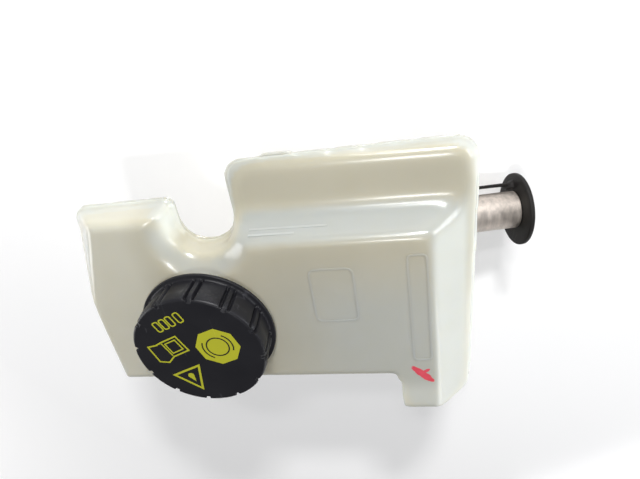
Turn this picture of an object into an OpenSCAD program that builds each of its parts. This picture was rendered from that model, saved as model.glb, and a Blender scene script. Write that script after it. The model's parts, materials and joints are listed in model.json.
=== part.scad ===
// Brake fluid reservoir: a two-part welded tank with a stepped top, a screw cap with a
// rubber diaphragm, a strainer, a float with a reed sensor, two outlet spigots and a
// sleeved retaining pin that crosses the lugs under the tank.
// The tank is drawn with the filler axis at the origin, its top face at z = 0 and its
// front towards +Y. place() then turns the front to -Y and moves the front outlet's seat
// to the origin.

/* [Tank top] */
// Left edge of the top face
top_left = -57; // [-60:0.5:-54]
// Right edge of the top face, where the side slope starts
top_right = 103; // [100:0.5:106]
// Rear edge of the top face
top_rear = -36.5; // [-38:0.5:-35]
// Front edge of the top face above the step
top_front = 43; // [41:0.5:45]
// Front edge of the top face on the left block
block_front = 58; // [57:0.5:59]
// Drop of the step from the top face to the shelf
step_drop = 16.5; // [14:0.5:18]
// How far the step wall leans out over its drop
step_lean = 5.6; // [3:0.2:7]
// How far the right side slope leans out over the same drop
side_lean = 15.4; // [13:0.2:17]
// Radius of the top edges
edge_r = 4.5; // [3:0.5:6]
// Radius of the hollow at the foot of the step
step_r = 6; // [3:0.5:8]

/* [Tank outline at the weld] */
// Left edge of the weld flange at the rear
flange_left = -61; // [-63:0.5:-60]
// Left edge of the weld flange at the front
flange_left_front = -54.5; // [-57:0.5:-53]
// Rear edge of the weld flange
flange_rear = -38.8; // [-41:0.2:-38.6]
// Front edge of the weld flange on the left block
flange_block_front = 60; // [59.5:0.5:62]
// Front edge of the weld flange below the shelf
flange_front = 74.3; // [72:0.1:77]
// Right edge of the weld flange at the front
flange_right = 125.5; // [124:0.5:128]
// Right edge of the weld flange at the rear
flange_right_rear = 120.6; // [120.4:0.1:124]
// Inner side of the rear foot
foot_left = 84.2; // [80:0.2:88]
// Rear edge of the foot's flange
foot_rear = -62.5; // [-66:0.5:-58]
// How far the weld flange stands out from the walls
flange_w = 1.8; // [1.5:0.1:2.2]
// Thickness of each half of the weld flange
flange_t = 1.8; // [1.4:0.1:2.4]
// Tilt of the weld plane, falling to the right
weld_tilt = 3.2; // [2.8:0.1:3.6]
// Depth of the weld plane below the top face at the filler axis
weld_drop = 17.5; // [17:0.1:19]
// Wall thickness of both tank halves
wall = 2.4; // [1.8:0.1:3]

/* [Notch] */
// Right side of the notch in the front
notch_right = 17.2; // [16:0.2:19]
// Left side of the notch in the front
notch_left = -7; // [-8:0.2:-5]
// Bottom of the notch
notch_bottom = 37.3; // [36.5:0.1:38.5]
// Depth of the dished slope around the notch
dish_drop = 6.5; // [5:0.5:7.5]
// How far the dished slope reaches past the notch wall
dish_w = 9.5; // [8:0.5:11]

/* [Lower tray] */
// Depth of the tray below the weld plane
tray_depth = 12; // [11:0.5:13]
// Radius of the tray's bottom edges
tray_r = 5; // [3:0.5:6]
// Thickness of the baffles
baffle_t = 1.8; // [1.4:0.1:2.4]

/* [Filler neck and cap] */
// Outer radius of the filler neck
neck_r = 25.5; // [25:0.1:26]
// Wall thickness of the filler neck
neck_wall = 3; // [2.6:0.1:3.2]
// Height of the filler neck above the top face
neck_h = 12.6; // [12:0.2:13]
// Clearance between the neck and the cap's bore, which the thread takes up
thread_gap = 1.9; // [1.6:0.1:2.2]
// Thickness of the cap's skirt across its ribs
skirt_wall = 2.6; // [2.2:0.1:3]
// Thickness of the cap's top
cap_wall = 2.2; // [1.8:0.1:2.6]
// Radius of the cap's top edge
cap_round = 2; // [1:0.1:2.4]
// Gap between the cap's flange and the top face
cap_gap = 1.9; // [1.5:0.1:2.5]
// How far the cap's flange stands out
cap_lip = 1.5; // [1:0.1:2]
// Thickness of the cap's flange
cap_flange_t = 1.6; // [1.2:0.1:2]
// Number of grip ribs round the cap
rib_count = 12; // [8:1:16]
// Turn of the ribs about the cap's axis
rib_turn = 23.7; // [0:0.1:30]
// Width of a grip rib
rib_w = 3.2; // [2.6:0.1:3.6]
// Width of the groove on each side of a rib
rib_groove = 1.1; // [0.8:0.1:1.4]
// Height of the ring that holds the diaphragm
ring_h = 1.8; // [1.4:0.1:2.4]

/* [Float and sensor] */
// Distance of the sensor axis to the right of the filler axis
sensor_x = 54.5; // [52:0.5:57]
// Distance of the sensor axis in front of the filler axis
sensor_y = 4.5; // [2:0.5:7]
// Outer radius of the blind guide tube
guide_r = 6; // [5.6:0.1:6.4]
// Outer radius of the float
float_r = 14; // [12:0.5:16]
// Height of the float
float_h = 9; // [7:0.5:10]
// Radius of the sensor stem
stem_r = 3.9; // [3.6:0.1:4.1]

/* [Retaining pin and outlets] */
// Outer radius of the steel sleeve
sleeve_r = 9.25; // [9:0.05:9.6]
// Wall thickness of the steel sleeve
sleeve_wall = 2; // [1.5:0.1:2.5]
// Radius of the pin's head
head_r = 18; // [17:0.5:19]
// Thickness of the pin's head
head_t = 2.4; // [1.8:0.1:3]
// Distance from the middle of the lugs to the inner face of the head
head_x = 48; // [44:0.5:52]
// Clear width between the two lugs
lug_gap = 26; // [24:0.5:28]
// Thickness of each lug
lug_t = 8; // [7:0.5:9]
// Radius of the round end of each lug
lug_r = 14; // [13.5:0.1:15]
// Pitch of the pin axis, falling to the right
pin_pitch = 14; // [12:0.5:16]
// Yaw of the pin axis, turning to the rear at the right
pin_yaw = 4.5; // [3:0.5:6]
// Distance of each outlet from the pin axis
outlet_pitch = 28; // [26:0.5:30]
// Outer radius of the outlet spigots
outlet_r = 8; // [7.5:0.1:8.5]
// Length of the outlet spigots below their shoulder
outlet_l = 17; // [14:0.5:19]
// Radius of the bore through each outlet
outlet_bore_r = 5.5; // [5:0.1:6]

/* [Hidden] */
$fn = 96;

eps = 0.01;
skim = 0.02;
far = 200;
arc_step = 12;

// Running and seating clearances
fit = 0.05;
seat_gap = 0.15;
slack = 0.4;

// Where the side slope and the step end, and where the shelf lies
slope_end = top_right + side_lean;
shelf_z = -step_drop;
shelf_edge_r = 3;
side_foot_r = 6;
base_z = -50;
draft = 1;

// Notch outline
notch_r = 11.2;
lip_r = 4.5;
notch_x = (notch_left + notch_right) / 2;
notch_y = notch_bottom + notch_r;
dish_r = notch_r + flange_w + 0.3;

// Sloped front left corner of the left block: start, heading and slope
hip_start = [-55, 14, 0];
hip_heading = 72;
hip_slope = 49;

// Plates across the tank: distance to the right of the filler axis, rear end and front end
baffles = [[31, -28, 24], [77, -28, 38]];

// Small tab on the front of the weld flange
tab = [12, 3.2];
tab_x = 36.5;

// Diaphragm
seal_t = 1.6;
seal_r = neck_r - 0.8;
seal_rim = 3;
fold_r = 1.1;
fold_pitch = 4.4;
web_t = 1.2;
ring_w = 3.4;

// Cap
cap_bore_r = neck_r + thread_gap;
cap_r = cap_bore_r + skirt_wall;
cap_flange_r = cap_r + cap_lip;
cap_skirt_r = cap_r - 0.2;
cap_foot_r = cap_r - 0.8;
cap_roof = neck_h + seal_t + ring_h + 2 * seat_gap;
cap_top = cap_roof + cap_wall;
rib_lift = 0.3;
rib_facet = 1.3;
cap_section = [
    [0, cap_gap, 0],
    [cap_flange_r, cap_gap, 0],
    [cap_flange_r, cap_gap + cap_flange_t, 0],
    [cap_foot_r, cap_gap + cap_flange_t + 0.4, 0],
    [cap_skirt_r, cap_top, cap_round],
    [0, cap_top, 0]
];

// Strainer seat in the neck
neck_bore_r = neck_r - neck_wall;
seat_step = 1.4;
seat_depth = 1.6;
strainer_flange_r = neck_bore_r + seat_step - seat_gap;
strainer_r = neck_bore_r - 0.8;
strainer_bottom = -15;
strainer_bar = 1.4;
strainer_bars = 8;
grid_bar = 3;
grid_rim = 1.85;
mesh_t = 0.5;
mesh_drop = 3;
fold_out = strainer_r - strainer_bar - fold_r - 1.6;

// Float, guide tube and sensor
guide_bore_r = stem_r + 0.2;
guide_top = -6;
boss_r = 9;
tray_floor = -weld_drop - sensor_x * tan(weld_tilt) - tray_depth;
sensor_seat = tray_floor - 1;
boss_top = tray_floor + wall + 1;
float_bottom = boss_top + 0.3;
float_bore_r = guide_r + 0.5;
float_edge = 1;
magnet_r = float_bore_r + 3.2;
magnet_h = 3;
stem_top = guide_top - 2.6;
reed_r = 1.3;
reed_l = 14;
seal_ring_r = 6.6;
seal_cord_r = 0.62;
groove = [1.6, 1.3];
plug_r = 10;
plug_t = 3;
socket = [19, 12, 13];
socket_wall = 1.6;
blade = [0.8, 2.8, 14];
blade_pitch = 5;

// Retaining pin, as points of the lug frame
lug_centre = [99.7, 19.3, -50.7];
core_r = sleeve_r - sleeve_wall - fit;
lug_end = lug_gap / 2 + lug_t;
sleeve_in = -lug_end - 3;
barb_r = core_r + 1.5;
finger_t = 2;
finger_w = 7;
finger_r = 12.7;
finger_turn = -33;
outlet_shoulder = 6;
outlet_shoulder_r = 11;

// Unit axes of the lug frame in the drawing frame
lug_y = [sin(pin_yaw), cos(pin_yaw), 0];
lug_z = [sin(pin_pitch) * cos(pin_yaw), -sin(pin_pitch) * sin(pin_yaw), cos(pin_pitch)];
origin = lug_centre + outlet_pitch * lug_y + outlet_shoulder * lug_z;

// Outlines as corners [x, y, radius], counter-clockwise
flange_points = [
    [flange_left, flange_rear, 6],
    [foot_left, flange_rear, 3],
    [foot_left, foot_rear, 6.5],
    [flange_right_rear, foot_rear, 6],
    [flange_right, flange_front, 11],
    [notch_right, flange_front, 10],
    [notch_right, notch_bottom, notch_r],
    [notch_left, notch_bottom, notch_r],
    [notch_left, flange_block_front, lip_r],
    [flange_left_front, flange_block_front, 7]
];
tray_points = [
    [flange_left + 7, flange_rear + 6, 8],
    [foot_left + 7, flange_rear + 6, 4],
    [foot_left + 7, foot_rear + 7, 6],
    [flange_right_rear - 6, foot_rear + 7, 8],
    [flange_right - 8, flange_front - 8, 10],
    [notch_right + 9, flange_front - 8, 8],
    [notch_right + 9, notch_bottom - 8, 8],
    [notch_left - 8, notch_bottom - 8, 8],
    [notch_left - 8, flange_block_front - 9, 5],
    [flange_left_front + 8, flange_block_front - 9, 8]
];

// Sections of the top: along the tank (x, z) and across it (y, z)
long_section = [
    [flange_left + flange_w, base_z, 0],
    [flange_right, base_z, 0],
    [flange_right, shelf_z - 4.5, 2],
    [slope_end, shelf_z, side_foot_r],
    [top_right, 0, edge_r],
    [top_left, 0, edge_r],
    [top_left - draft, -weld_drop, 0]
];
main_section = [
    [top_rear - draft, base_z, 0],
    [flange_front - flange_w, base_z, 0],
    [flange_front - flange_w, shelf_z, shelf_edge_r],
    [top_front + step_lean, shelf_z, step_r],
    [top_front, 0, edge_r],
    [top_rear, 0, edge_r]
];
block_section = [
    [0, base_z, 0],
    [block_front + draft, base_z, 0],
    [block_front, 0, edge_r],
    [0, 0, 0]
];
foot_section = [
    [foot_rear + flange_w, base_z, 0],
    [0, base_z, 0],
    [0, 0, 0],
    [foot_rear + flange_w + draft / 2, 0, edge_r]
];

function unit(v) = v / norm(v);
function turn(u, v) = u.x * v.y - u.y * v.x;

// Corner i of an outline moved out by d: each side shifts along its normal
function moved(p, i, d) =
    let (
        n = len(p),
        a = unit([p[i].x - p[(i + n - 1) % n].x, p[i].y - p[(i + n - 1) % n].y]),
        b = unit([p[(i + 1) % n].x - p[i].x, p[(i + 1) % n].y - p[i].y]),
        na = [a.y, -a.x],
        nb = [b.y, -b.x],
        shift = d * (na + nb) / (1 + na * nb),
        r = p[i][2] == 0 ? 0 : max(0.4, p[i][2] + (turn(a, b) > 0 ? d : -d))
    )
    [p[i].x + shift.x, p[i].y + shift.y, r];

// Points of one rounded corner: an arc that touches both sides
function corner(a, p, b) =
    let (
        u = unit([a.x - p.x, a.y - p.y]),
        v = unit([b.x - p.x, b.y - p.y]),
        half = acos(max(-1, min(1, u * v))) / 2,
        c = [p.x, p.y] + unit(u + v) * p[2] / sin(half),
        sweep = 180 - 2 * half,
        steps = max(1, round(sweep / arc_step)),
        first = [p.x, p.y] + u * p[2] / tan(half) - c,
        way = turn(u, v) < 0 ? 1 : -1
    )
    p[2] == 0 ? [[p.x, p.y]] : [
        for (k = [0:steps])
            let (t = way * sweep * k / steps)
            c + [first.x * cos(t) - first.y * sin(t), first.x * sin(t) + first.y * cos(t)]
    ];

// Whole outline moved out by d, with its corners rounded
function outline(points, d = 0) =
    let (n = len(points), q = [for (i = [0:n - 1]) moved(points, i, d)])
    [for (i = [0:n - 1]) each corner(q[(i + n - 1) % n], q[i], q[(i + 1) % n])];

// Final frame: front towards -Y, origin at the front outlet's seat
module place() {
    rotate([0, 0, 180]) translate(-origin) children();
}

// Frame of the weld plane, which falls to the right
module weld_frame() {
    translate([0, 0, -weld_drop]) rotate([0, weld_tilt, 0]) children();
}

// Frame of the lugs: x along the pin towards its head, z against the outlets
module lug_frame() {
    translate(lug_centre) rotate([0, pin_pitch, -pin_yaw]) children();
}

module sensor_frame() {
    translate([sensor_x, sensor_y, 0]) children();
}

// Prism with an x, z section that runs along y
module along_y(points, y0, y1) {
    translate([0, y1, 0]) rotate([90, 0, 0]) linear_extrude(y1 - y0) polygon(points);
}

// Prism with a y, z section that runs along x
module along_x(points, x0, x1) {
    translate([x0, 0, 0]) rotate([90, 0, 90]) linear_extrude(x1 - x0) polygon(points);
}

// Dished slope around the notch, moved out by d, with a round edge to the top face
module dish(d) {
    section = [
        [-far / 4, -dish_drop, 0],
        [dish_r, -dish_drop, 0],
        [dish_r + dish_w, skim, edge_r],
        [far / 4, skim, 0],
        [far / 4, far / 4, 0],
        [-far / 4, far / 4, 0]
    ];
    translate([notch_x, notch_y, 0]) rotate_extrude() intersection() {
        polygon(outline(section, d));
        translate([0, -far / 2]) square(far);
    }
}

// Slope that takes the front left corner off, moved out by d, with a round edge to the top face
module hip(d) {
    section = [
        [-far, skim, 0],
        [0, skim, edge_r],
        [far * cos(hip_slope), -far * sin(hip_slope), 0],
        [far, far, 0],
        [-far, far, 0]
    ];
    translate(hip_start) rotate([0, 0, hip_heading]) along_x(outline(section, d), -far / 2, far / 2);
}

// Form of the upper half, with every face moved in by d
module top_form(d) {
    difference() {
        intersection() {
            translate([0, 0, base_z]) linear_extrude(-base_z)
                polygon(outline(flange_points, -flange_w - d));
            along_y(outline(long_section, -d), -far, far);
            union() {
                along_x(outline(main_section, -d), -far, far);
                along_x(outline(block_section, -d), -far, notch_x);
                along_x(outline(foot_section, -d), foot_left, far);
            }
        }
        dish(d);
        hip(d);
    }
}

module below_weld() {
    weld_frame() translate([-far, -far, -far]) cube([2 * far, 2 * far, far]);
}

// Raised bars on the step wall that mark the fluid level
module level_marks() {
    mark_t = 0.4;
    lean = atan(step_lean / step_drop);
    translate([0, top_front + step_lean / 2, -step_drop / 2]) rotate([lean, 0, 0])
        for (bar = [[27, 34, 0], [30, 20, 3.2]])
            translate([bar[0], -0.6, bar[2]]) cube([bar[1], mark_t + 0.6, 0.9]);
}

module upper_shell() color([0.88, 0.87, 0.80]) {
    difference() {
        union() {
            difference() {
                union() {
                    top_form(0);
                    level_marks();
                }
                below_weld();
            }
            weld_frame() linear_extrude(flange_t) polygon(outline(flange_points));
            translate([0, 0, -wall]) cylinder(h = neck_h + wall, r = neck_r);
        }
        top_form(wall);
        translate([0, 0, -2 * wall]) cylinder(h = far, r = neck_bore_r);
        translate([0, 0, neck_h - seat_depth]) cylinder(h = far, r = neck_bore_r + seat_step);
    }
}

// Form of the tray, with every face moved in by d, in the weld frame
module tray_form(d) {
    x0 = flange_left + 7;
    x1 = flange_right - 8;
    y0 = foot_rear + 7;
    y1 = flange_front - 8;
    floor_z = -tray_depth;
    intersection() {
        translate([0, 0, -far / 4]) linear_extrude(far / 4 + (d > 0 ? 1 : 0))
            polygon(outline(tray_points, -d));
        along_y(
            outline([[x0, floor_z, tray_r], [x1, floor_z, tray_r], [x1, far, 0], [x0, far, 0]], -d),
            -far, far
        );
        along_x(
            outline([[y0, floor_z, tray_r], [y1, floor_z, tray_r], [y1, far, 0], [y0, far, 0]], -d),
            -far, far
        );
    }
}

// Upright plate across the tank with two windows at its foot
module baffle(x, y0, y1) {
    window = 7;
    top_z = -wall - 2;
    difference() {
        translate([x, y0, base_z]) cube([baffle_t, y1 - y0, top_z - base_z]);
        for (y = [y0 + 10, y1 - 10 - window])
            translate([x - 1, y, tray_floor + wall + 1.5]) cube([baffle_t + 2, window, window]);
    }
}

module lug(x) {
    translate([x, 0, 0]) rotate([90, 0, 90]) linear_extrude(lug_t) {
        circle(r = lug_r);
        translate([-lug_r, 0]) square([2 * lug_r, far / 4]);
    }
}

module outlet() {
    tip = 1.2;
    bottom = outlet_shoulder - outlet_l;
    translate([0, 0, outlet_shoulder]) cylinder(h = far / 4, r = outlet_shoulder_r);
    translate([0, 0, bottom + tip]) cylinder(h = outlet_l - tip + eps, r = outlet_r);
    translate([0, 0, bottom]) cylinder(h = tip, r1 = outlet_r - tip, r2 = outlet_r);
}

// Space that the lugs and outlets may fill, up to the weld flange
module under_flange() {
    weld_frame() translate([0, 0, -far]) linear_extrude(far - flange_t / 2)
        polygon(outline(flange_points, -flange_w / 2));
}

module lower_shell() color([0.86, 0.85, 0.78]) {
    difference() {
        union() {
            weld_frame() {
                tray_form(0);
                translate([0, 0, -flange_t]) linear_extrude(flange_t) polygon(outline(flange_points));
                translate([tab_x, flange_front - tab.y + 1.2, -flange_t]) cube([tab.x, tab.y, flange_t]);
            }
            intersection() {
                under_flange();
                lug_frame() {
                    for (x = [-lug_end, lug_gap / 2])
                        lug(x);
                    for (side = [-1, 1])
                        translate([0, side * outlet_pitch, 0]) outlet();
                }
            }
            sensor_frame() translate([0, 0, sensor_seat]) cylinder(h = wall, r = plug_r + 1);
        }
        weld_frame() tray_form(wall);
        lug_frame() {
            translate([-lug_end - 1, 0, 0]) rotate([0, 90, 0])
                cylinder(h = 2 * lug_end + 2, r = sleeve_r + fit);
            for (side = [-1, 1])
                translate([0, side * outlet_pitch, -far / 4]) cylinder(h = far / 2, r = outlet_bore_r);
        }
        sensor_frame() translate([0, 0, base_z]) cylinder(h = boss_top - base_z, r = guide_bore_r);
    }
    guide_tube();
    intersection() {
        for (b = baffles)
            baffle(b[0], b[1], b[2]);
        union() {
            weld_frame() tray_form(wall / 2);
            difference() {
                top_form(wall + slack);
                below_weld();
            }
        }
    }
}

// Blind tube that guides the float and takes the sensor from below
module guide_tube() {
    sensor_frame() difference() {
        union() {
            translate([0, 0, tray_floor]) cylinder(h = guide_top - tray_floor, r = guide_r);
            translate([0, 0, tray_floor]) cylinder(h = boss_top - tray_floor, r = boss_r);
        }
        translate([0, 0, base_z]) cylinder(h = guide_top - 1.6 - base_z, r = guide_bore_r);
    }
}

// Grip rib whose top end is a facet across the cap's round edge
module grip_rib() {
    foot = cap_gap + cap_flange_t / 2;
    inside = cap_bore_r + 0.6;
    reach = cap_r + rib_lift;
    end_z = cap_top - rib_lift;
    rotate([90, 0, 0]) translate([0, 0, -rib_w / 2]) linear_extrude(rib_w) polygon([
        [inside, foot], [reach, foot], [reach, end_z - rib_facet],
        [reach - rib_facet, end_z], [inside, end_z]
    ]);
}

// Slot that leaves a groove on each side of its rib
module rib_slot() {
    foot = cap_gap + cap_flange_t + 0.7;
    slot_w = rib_w + 2 * rib_groove;
    slot_h = cap_top - rib_facet - foot;
    translate([(cap_bore_r + cap_r) / 2, -slot_w / 2, foot]) cube([cap_r, slot_w, slot_h]);
}

module cap_shell() color([0.11, 0.11, 0.13]) {
    difference() {
        rotate_extrude() polygon(outline(cap_section));
        translate([0, 0, -eps]) cylinder(h = cap_roof + eps, r = cap_bore_r);
        for (i = [0:rib_count - 1])
            rotate([0, 0, rib_turn + i * 360 / rib_count]) rib_slot();
    }
    for (i = [0:rib_count - 1])
        rotate([0, 0, rib_turn + i * 360 / rib_count]) grip_rib();
}

module diaphragm_ring() color([0.16, 0.16, 0.17]) {
    ring_z = neck_h + seat_gap + seal_t;
    translate([0, 0, ring_z]) difference() {
        cylinder(h = ring_h, r = seal_r);
        translate([0, 0, -1]) cylinder(h = far, r = seal_r - ring_w);
    }
}

// Rubber diaphragm: a flat rim on the neck and a web with round folds
module cap_diaphragm() color([0.08, 0.08, 0.09]) {
    rim_z = neck_h + seat_gap;
    rotate_extrude() union() {
        translate([0, rim_z]) square([seal_r, web_t]);
        translate([seal_r - seal_rim, rim_z]) square([seal_rim, seal_t]);
        for (i = [0:floor((fold_out - 2 * fold_r) / fold_pitch)])
            translate([fold_out - i * fold_pitch, rim_z]) circle(r = fold_r);
    }
}

module strainer_frame() color([0.93, 0.93, 0.90]) {
    top_z = neck_h - seat_depth;
    depth = top_z - strainer_bottom;
    flange_h = seat_depth - 0.2;
    hole = (strainer_r - strainer_bar) / sqrt(2) - grid_bar - grid_rim;
    difference() {
        union() {
            translate([0, 0, top_z]) cylinder(h = flange_h, r = strainer_flange_r);
            translate([0, 0, strainer_bottom]) cylinder(h = depth, r = strainer_r);
        }
        translate([0, 0, strainer_bottom + strainer_bar]) cylinder(h = far, r = strainer_r - strainer_bar);
        for (i = [0:strainer_bars - 1])
            rotate([0, 0, i * 360 / strainer_bars]) strainer_window(depth);
        for (i = [0:3])
            rotate([0, 0, 45 + i * 90]) translate([grid_bar, grid_bar, strainer_bottom - 1])
                cube([hole, hole, strainer_bar + 2]);
    }
}

module strainer_window(depth) {
    w = 2 * PI * strainer_r / strainer_bars - 3;
    translate([strainer_r - 3, -w / 2, strainer_bottom + 3]) cube([5, w, depth - 9]);
}

module strainer_mesh() color([0.80, 0.80, 0.74]) {
    mesh_r = strainer_r - strainer_bar - 0.05;
    top_z = neck_h - seat_depth - mesh_drop;
    bottom_z = strainer_bottom + strainer_bar + 0.05;
    difference() {
        translate([0, 0, bottom_z]) cylinder(h = top_z - bottom_z, r = mesh_r);
        translate([0, 0, bottom_z + mesh_t]) cylinder(h = far, r = mesh_r - mesh_t);
    }
}

module float_body() color([0.90, 0.88, 0.80]) {
    sensor_frame() translate([0, 0, float_bottom]) difference() {
        rotate_extrude() polygon([
            [float_bore_r, 0], [float_r - float_edge, 0], [float_r, float_edge],
            [float_r, float_h - float_edge], [float_r - float_edge, float_h], [float_bore_r, float_h]
        ]);
        translate([0, 0, -1]) cylinder(h = magnet_h + 1.1, r = magnet_r + seat_gap);
    }
}

module float_magnet() color([0.25, 0.25, 0.27]) {
    sensor_frame() translate([0, 0, float_bottom]) difference() {
        cylinder(h = magnet_h, r = magnet_r);
        translate([0, 0, -1]) cylinder(h = far, r = float_bore_r);
    }
}

module sensor_housing() color([0.12, 0.12, 0.13]) {
    plug_z = sensor_seat - seat_gap;
    sensor_frame() difference() {
        union() {
            translate([0, 0, plug_z - plug_t]) cylinder(h = plug_t, r = plug_r);
            translate([0, 0, plug_z - plug_t]) cylinder(h = stem_top - plug_z + plug_t, r = stem_r);
            translate([-socket.x / 2, -socket.y / 2, plug_z - plug_t - socket.z]) cube(socket);
        }
        translate([0, 0, stem_top - reed_l - 3]) cylinder(h = reed_l + 1.5, r = reed_r + fit);
        rotate_extrude() translate([seal_ring_r - groove.x / 2, plug_z - groove.y]) square([groove.x, far]);
        translate([socket_wall - socket.x / 2, socket_wall - socket.y / 2, plug_z - plug_t - socket.z - 1])
            cube([socket.x - 2 * socket_wall, socket.y - 2 * socket_wall, socket.z - 1]);
        for (side = [-1, 1])
            translate([0, 0, fit]) blade_at(side, fit);
    }
}

// Blade terminal beside the sensor axis, grown by d
module blade_at(side, d) {
    top_z = sensor_seat - seat_gap - 1;
    translate([side * blade_pitch - blade.x / 2 - d, -blade.y / 2 - d, top_z - blade.z])
        cube([blade.x + 2 * d, blade.y + 2 * d, blade.z]);
}

module sensor_reed() color([0.75, 0.85, 0.80]) {
    sensor_frame() translate([0, 0, stem_top - reed_l - 2.5]) cylinder(h = reed_l, r = reed_r);
}

module terminal_front() color([0.80, 0.68, 0.35]) {
    sensor_frame() blade_at(1, 0);
}

module terminal_rear() color([0.80, 0.68, 0.35]) {
    sensor_frame() blade_at(-1, 0);
}

module sensor_seal() color([0.10, 0.10, 0.10]) {
    sensor_frame() translate([0, 0, sensor_seat - seat_gap + 0.02 - seal_cord_r])
        rotate_extrude() translate([seal_ring_r, 0]) circle(r = seal_cord_r);
}

module retaining_pin() color([0.20, 0.19, 0.20]) {
    barb_l = 2;
    start = sleeve_in - barb_l - fit;
    lug_frame() {
        rotate([0, 90, 0]) {
            translate([0, 0, start + barb_l]) cylinder(h = head_x - start - barb_l + eps, r = core_r);
            translate([0, 0, start]) cylinder(h = barb_l, r1 = core_r, r2 = barb_r);
            translate([0, 0, head_x]) cylinder(h = head_t - 0.8, r = head_r);
            translate([0, 0, head_x + head_t - 0.8]) cylinder(h = 0.8, r1 = head_r, r2 = head_r - 0.8);
        }
        rotate([finger_turn, 0, 0]) {
            tip_x = lug_end + slack;
            translate([tip_x, finger_r - finger_t / 2, -finger_w / 2])
                cube([head_x - tip_x + eps, finger_t, finger_w]);
            translate([head_x - 3, sleeve_r + 1, -finger_w / 2])
                cube([3 + eps, finger_r - sleeve_r - 1, finger_w]);
        }
    }
}

module pin_sleeve() color([0.62, 0.60, 0.56]) {
    lug_frame() rotate([0, 90, 0]) difference() {
        translate([0, 0, sleeve_in]) cylinder(h = head_x - sleeve_in - fit, r = sleeve_r);
        translate([0, 0, -far / 2]) cylinder(h = far, r = sleeve_r - sleeve_wall);
    }
}

place() upper_shell();
place() lower_shell();
place() cap_shell();
place() cap_diaphragm();
place() diaphragm_ring();
place() strainer_frame();
place() strainer_mesh();
place() float_body();
place() float_magnet();
place() sensor_housing();
place() sensor_reed();
place() terminal_front();
place() terminal_rear();
place() sensor_seal();
place() retaining_pin();
place() pin_sleeve();
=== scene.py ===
"""Looks of a brake fluid reservoir: milky tank, black screw cap, steel sleeve and pin, on a pale floor."""
import json
import logging
import math
from dataclasses import dataclass, field
from enum import Enum

import bmesh
import bpy
import numpy as np
from mathutils import Matrix, Vector


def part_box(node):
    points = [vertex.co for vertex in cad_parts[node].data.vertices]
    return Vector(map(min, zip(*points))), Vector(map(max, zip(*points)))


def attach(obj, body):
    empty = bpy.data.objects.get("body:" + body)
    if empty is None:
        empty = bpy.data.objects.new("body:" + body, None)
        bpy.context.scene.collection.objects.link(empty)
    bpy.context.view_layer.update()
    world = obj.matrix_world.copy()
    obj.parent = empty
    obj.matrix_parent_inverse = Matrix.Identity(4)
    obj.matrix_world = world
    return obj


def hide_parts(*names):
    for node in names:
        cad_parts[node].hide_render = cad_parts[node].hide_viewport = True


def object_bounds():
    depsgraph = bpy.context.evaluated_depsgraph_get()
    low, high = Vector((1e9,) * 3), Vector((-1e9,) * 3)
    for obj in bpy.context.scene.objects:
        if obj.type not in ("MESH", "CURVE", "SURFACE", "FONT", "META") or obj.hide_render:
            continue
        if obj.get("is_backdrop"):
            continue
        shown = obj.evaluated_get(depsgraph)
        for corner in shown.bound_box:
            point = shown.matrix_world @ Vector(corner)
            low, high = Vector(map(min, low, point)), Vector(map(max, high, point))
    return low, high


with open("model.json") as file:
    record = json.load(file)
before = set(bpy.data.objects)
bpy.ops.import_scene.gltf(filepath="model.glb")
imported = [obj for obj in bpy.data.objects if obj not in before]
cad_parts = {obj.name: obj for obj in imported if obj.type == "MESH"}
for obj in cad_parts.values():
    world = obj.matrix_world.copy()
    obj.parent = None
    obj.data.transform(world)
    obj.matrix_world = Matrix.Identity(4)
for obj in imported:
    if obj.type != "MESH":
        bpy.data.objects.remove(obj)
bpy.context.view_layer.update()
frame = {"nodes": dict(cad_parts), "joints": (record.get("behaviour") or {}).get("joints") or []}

MM = 0.001
LOG = logging.getLogger("reservoir")

Array = np.ndarray
Colour = tuple[float, float, float]


class Body(str, Enum):
    """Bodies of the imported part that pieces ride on."""

    TANK = "root"
    SEAL = "seal"
    CAP = "cap"
    FLOAT = "float"
    PIN = "pin"


class Slot(str, Enum):
    """Material slots of the record."""

    TANK = "tank_plastic"
    TRAY = "tray_plastic"
    CAP = "cap_plastic"
    RUBBER = "rubber"
    RING = "ring_plastic"
    STRAINER = "strainer_plastic"
    GAUZE = "strainer_gauze"
    FLOAT = "float_foam"
    MAGNET = "magnet"
    SENSOR = "sensor_plastic"
    REED = "reed_glass"
    TERMINAL = "terminal_brass"
    PIN = "pin_plastic"
    SLEEVE = "sleeve_steel"


# Datum and small geometry helpers


@dataclass(frozen=True)
class Datum:
    """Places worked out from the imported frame, in metres.

    The drawing's plan has the cap's axis at its origin, x to the pin's head and y to the front, in mm, with
    z = 0 on the tank's top face.
    """

    axis: tuple[float, float]
    cap_top: float
    top_face: float

    @classmethod
    def from_frame(cls, cap_height: float = 18.5) -> "Datum":
        """Reads the cap's axis and top from the CAD cap.

        Args:
            cap_height: height of the cap's top over the tank's top face, in mm.

        Returns:
            The datum of this part.
        """
        low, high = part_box("cap_shell")
        return cls((0.5 * (low.x + high.x), 0.5 * (low.y + high.y)), high.z, high.z - cap_height * MM)

    def point(self, x: float, y: float, z: float = 0.0) -> Array:
        """Returns the place in metres of a point of the drawing in mm."""
        return np.array([self.axis[0] - x * MM, self.axis[1] - y * MM, self.top_face + z * MM])


def mesh_object(name: str, points: Array, faces: list) -> bpy.types.Object:
    """Makes a smooth object from points and faces.

    Args:
        name: the piece's name.
        points: array of n by 3, in metres.
        faces: index tuples, wound so that they point outwards.

    Returns:
        The linked object.
    """
    mesh = bpy.data.meshes.new(name)
    mesh.from_pydata(points.tolist(), [], faces)
    mesh.polygons.foreach_set("use_smooth", [True] * len(mesh.polygons))
    mesh.update()
    obj = bpy.data.objects.new(name, mesh)
    bpy.context.scene.collection.objects.link(obj)
    return obj


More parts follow.
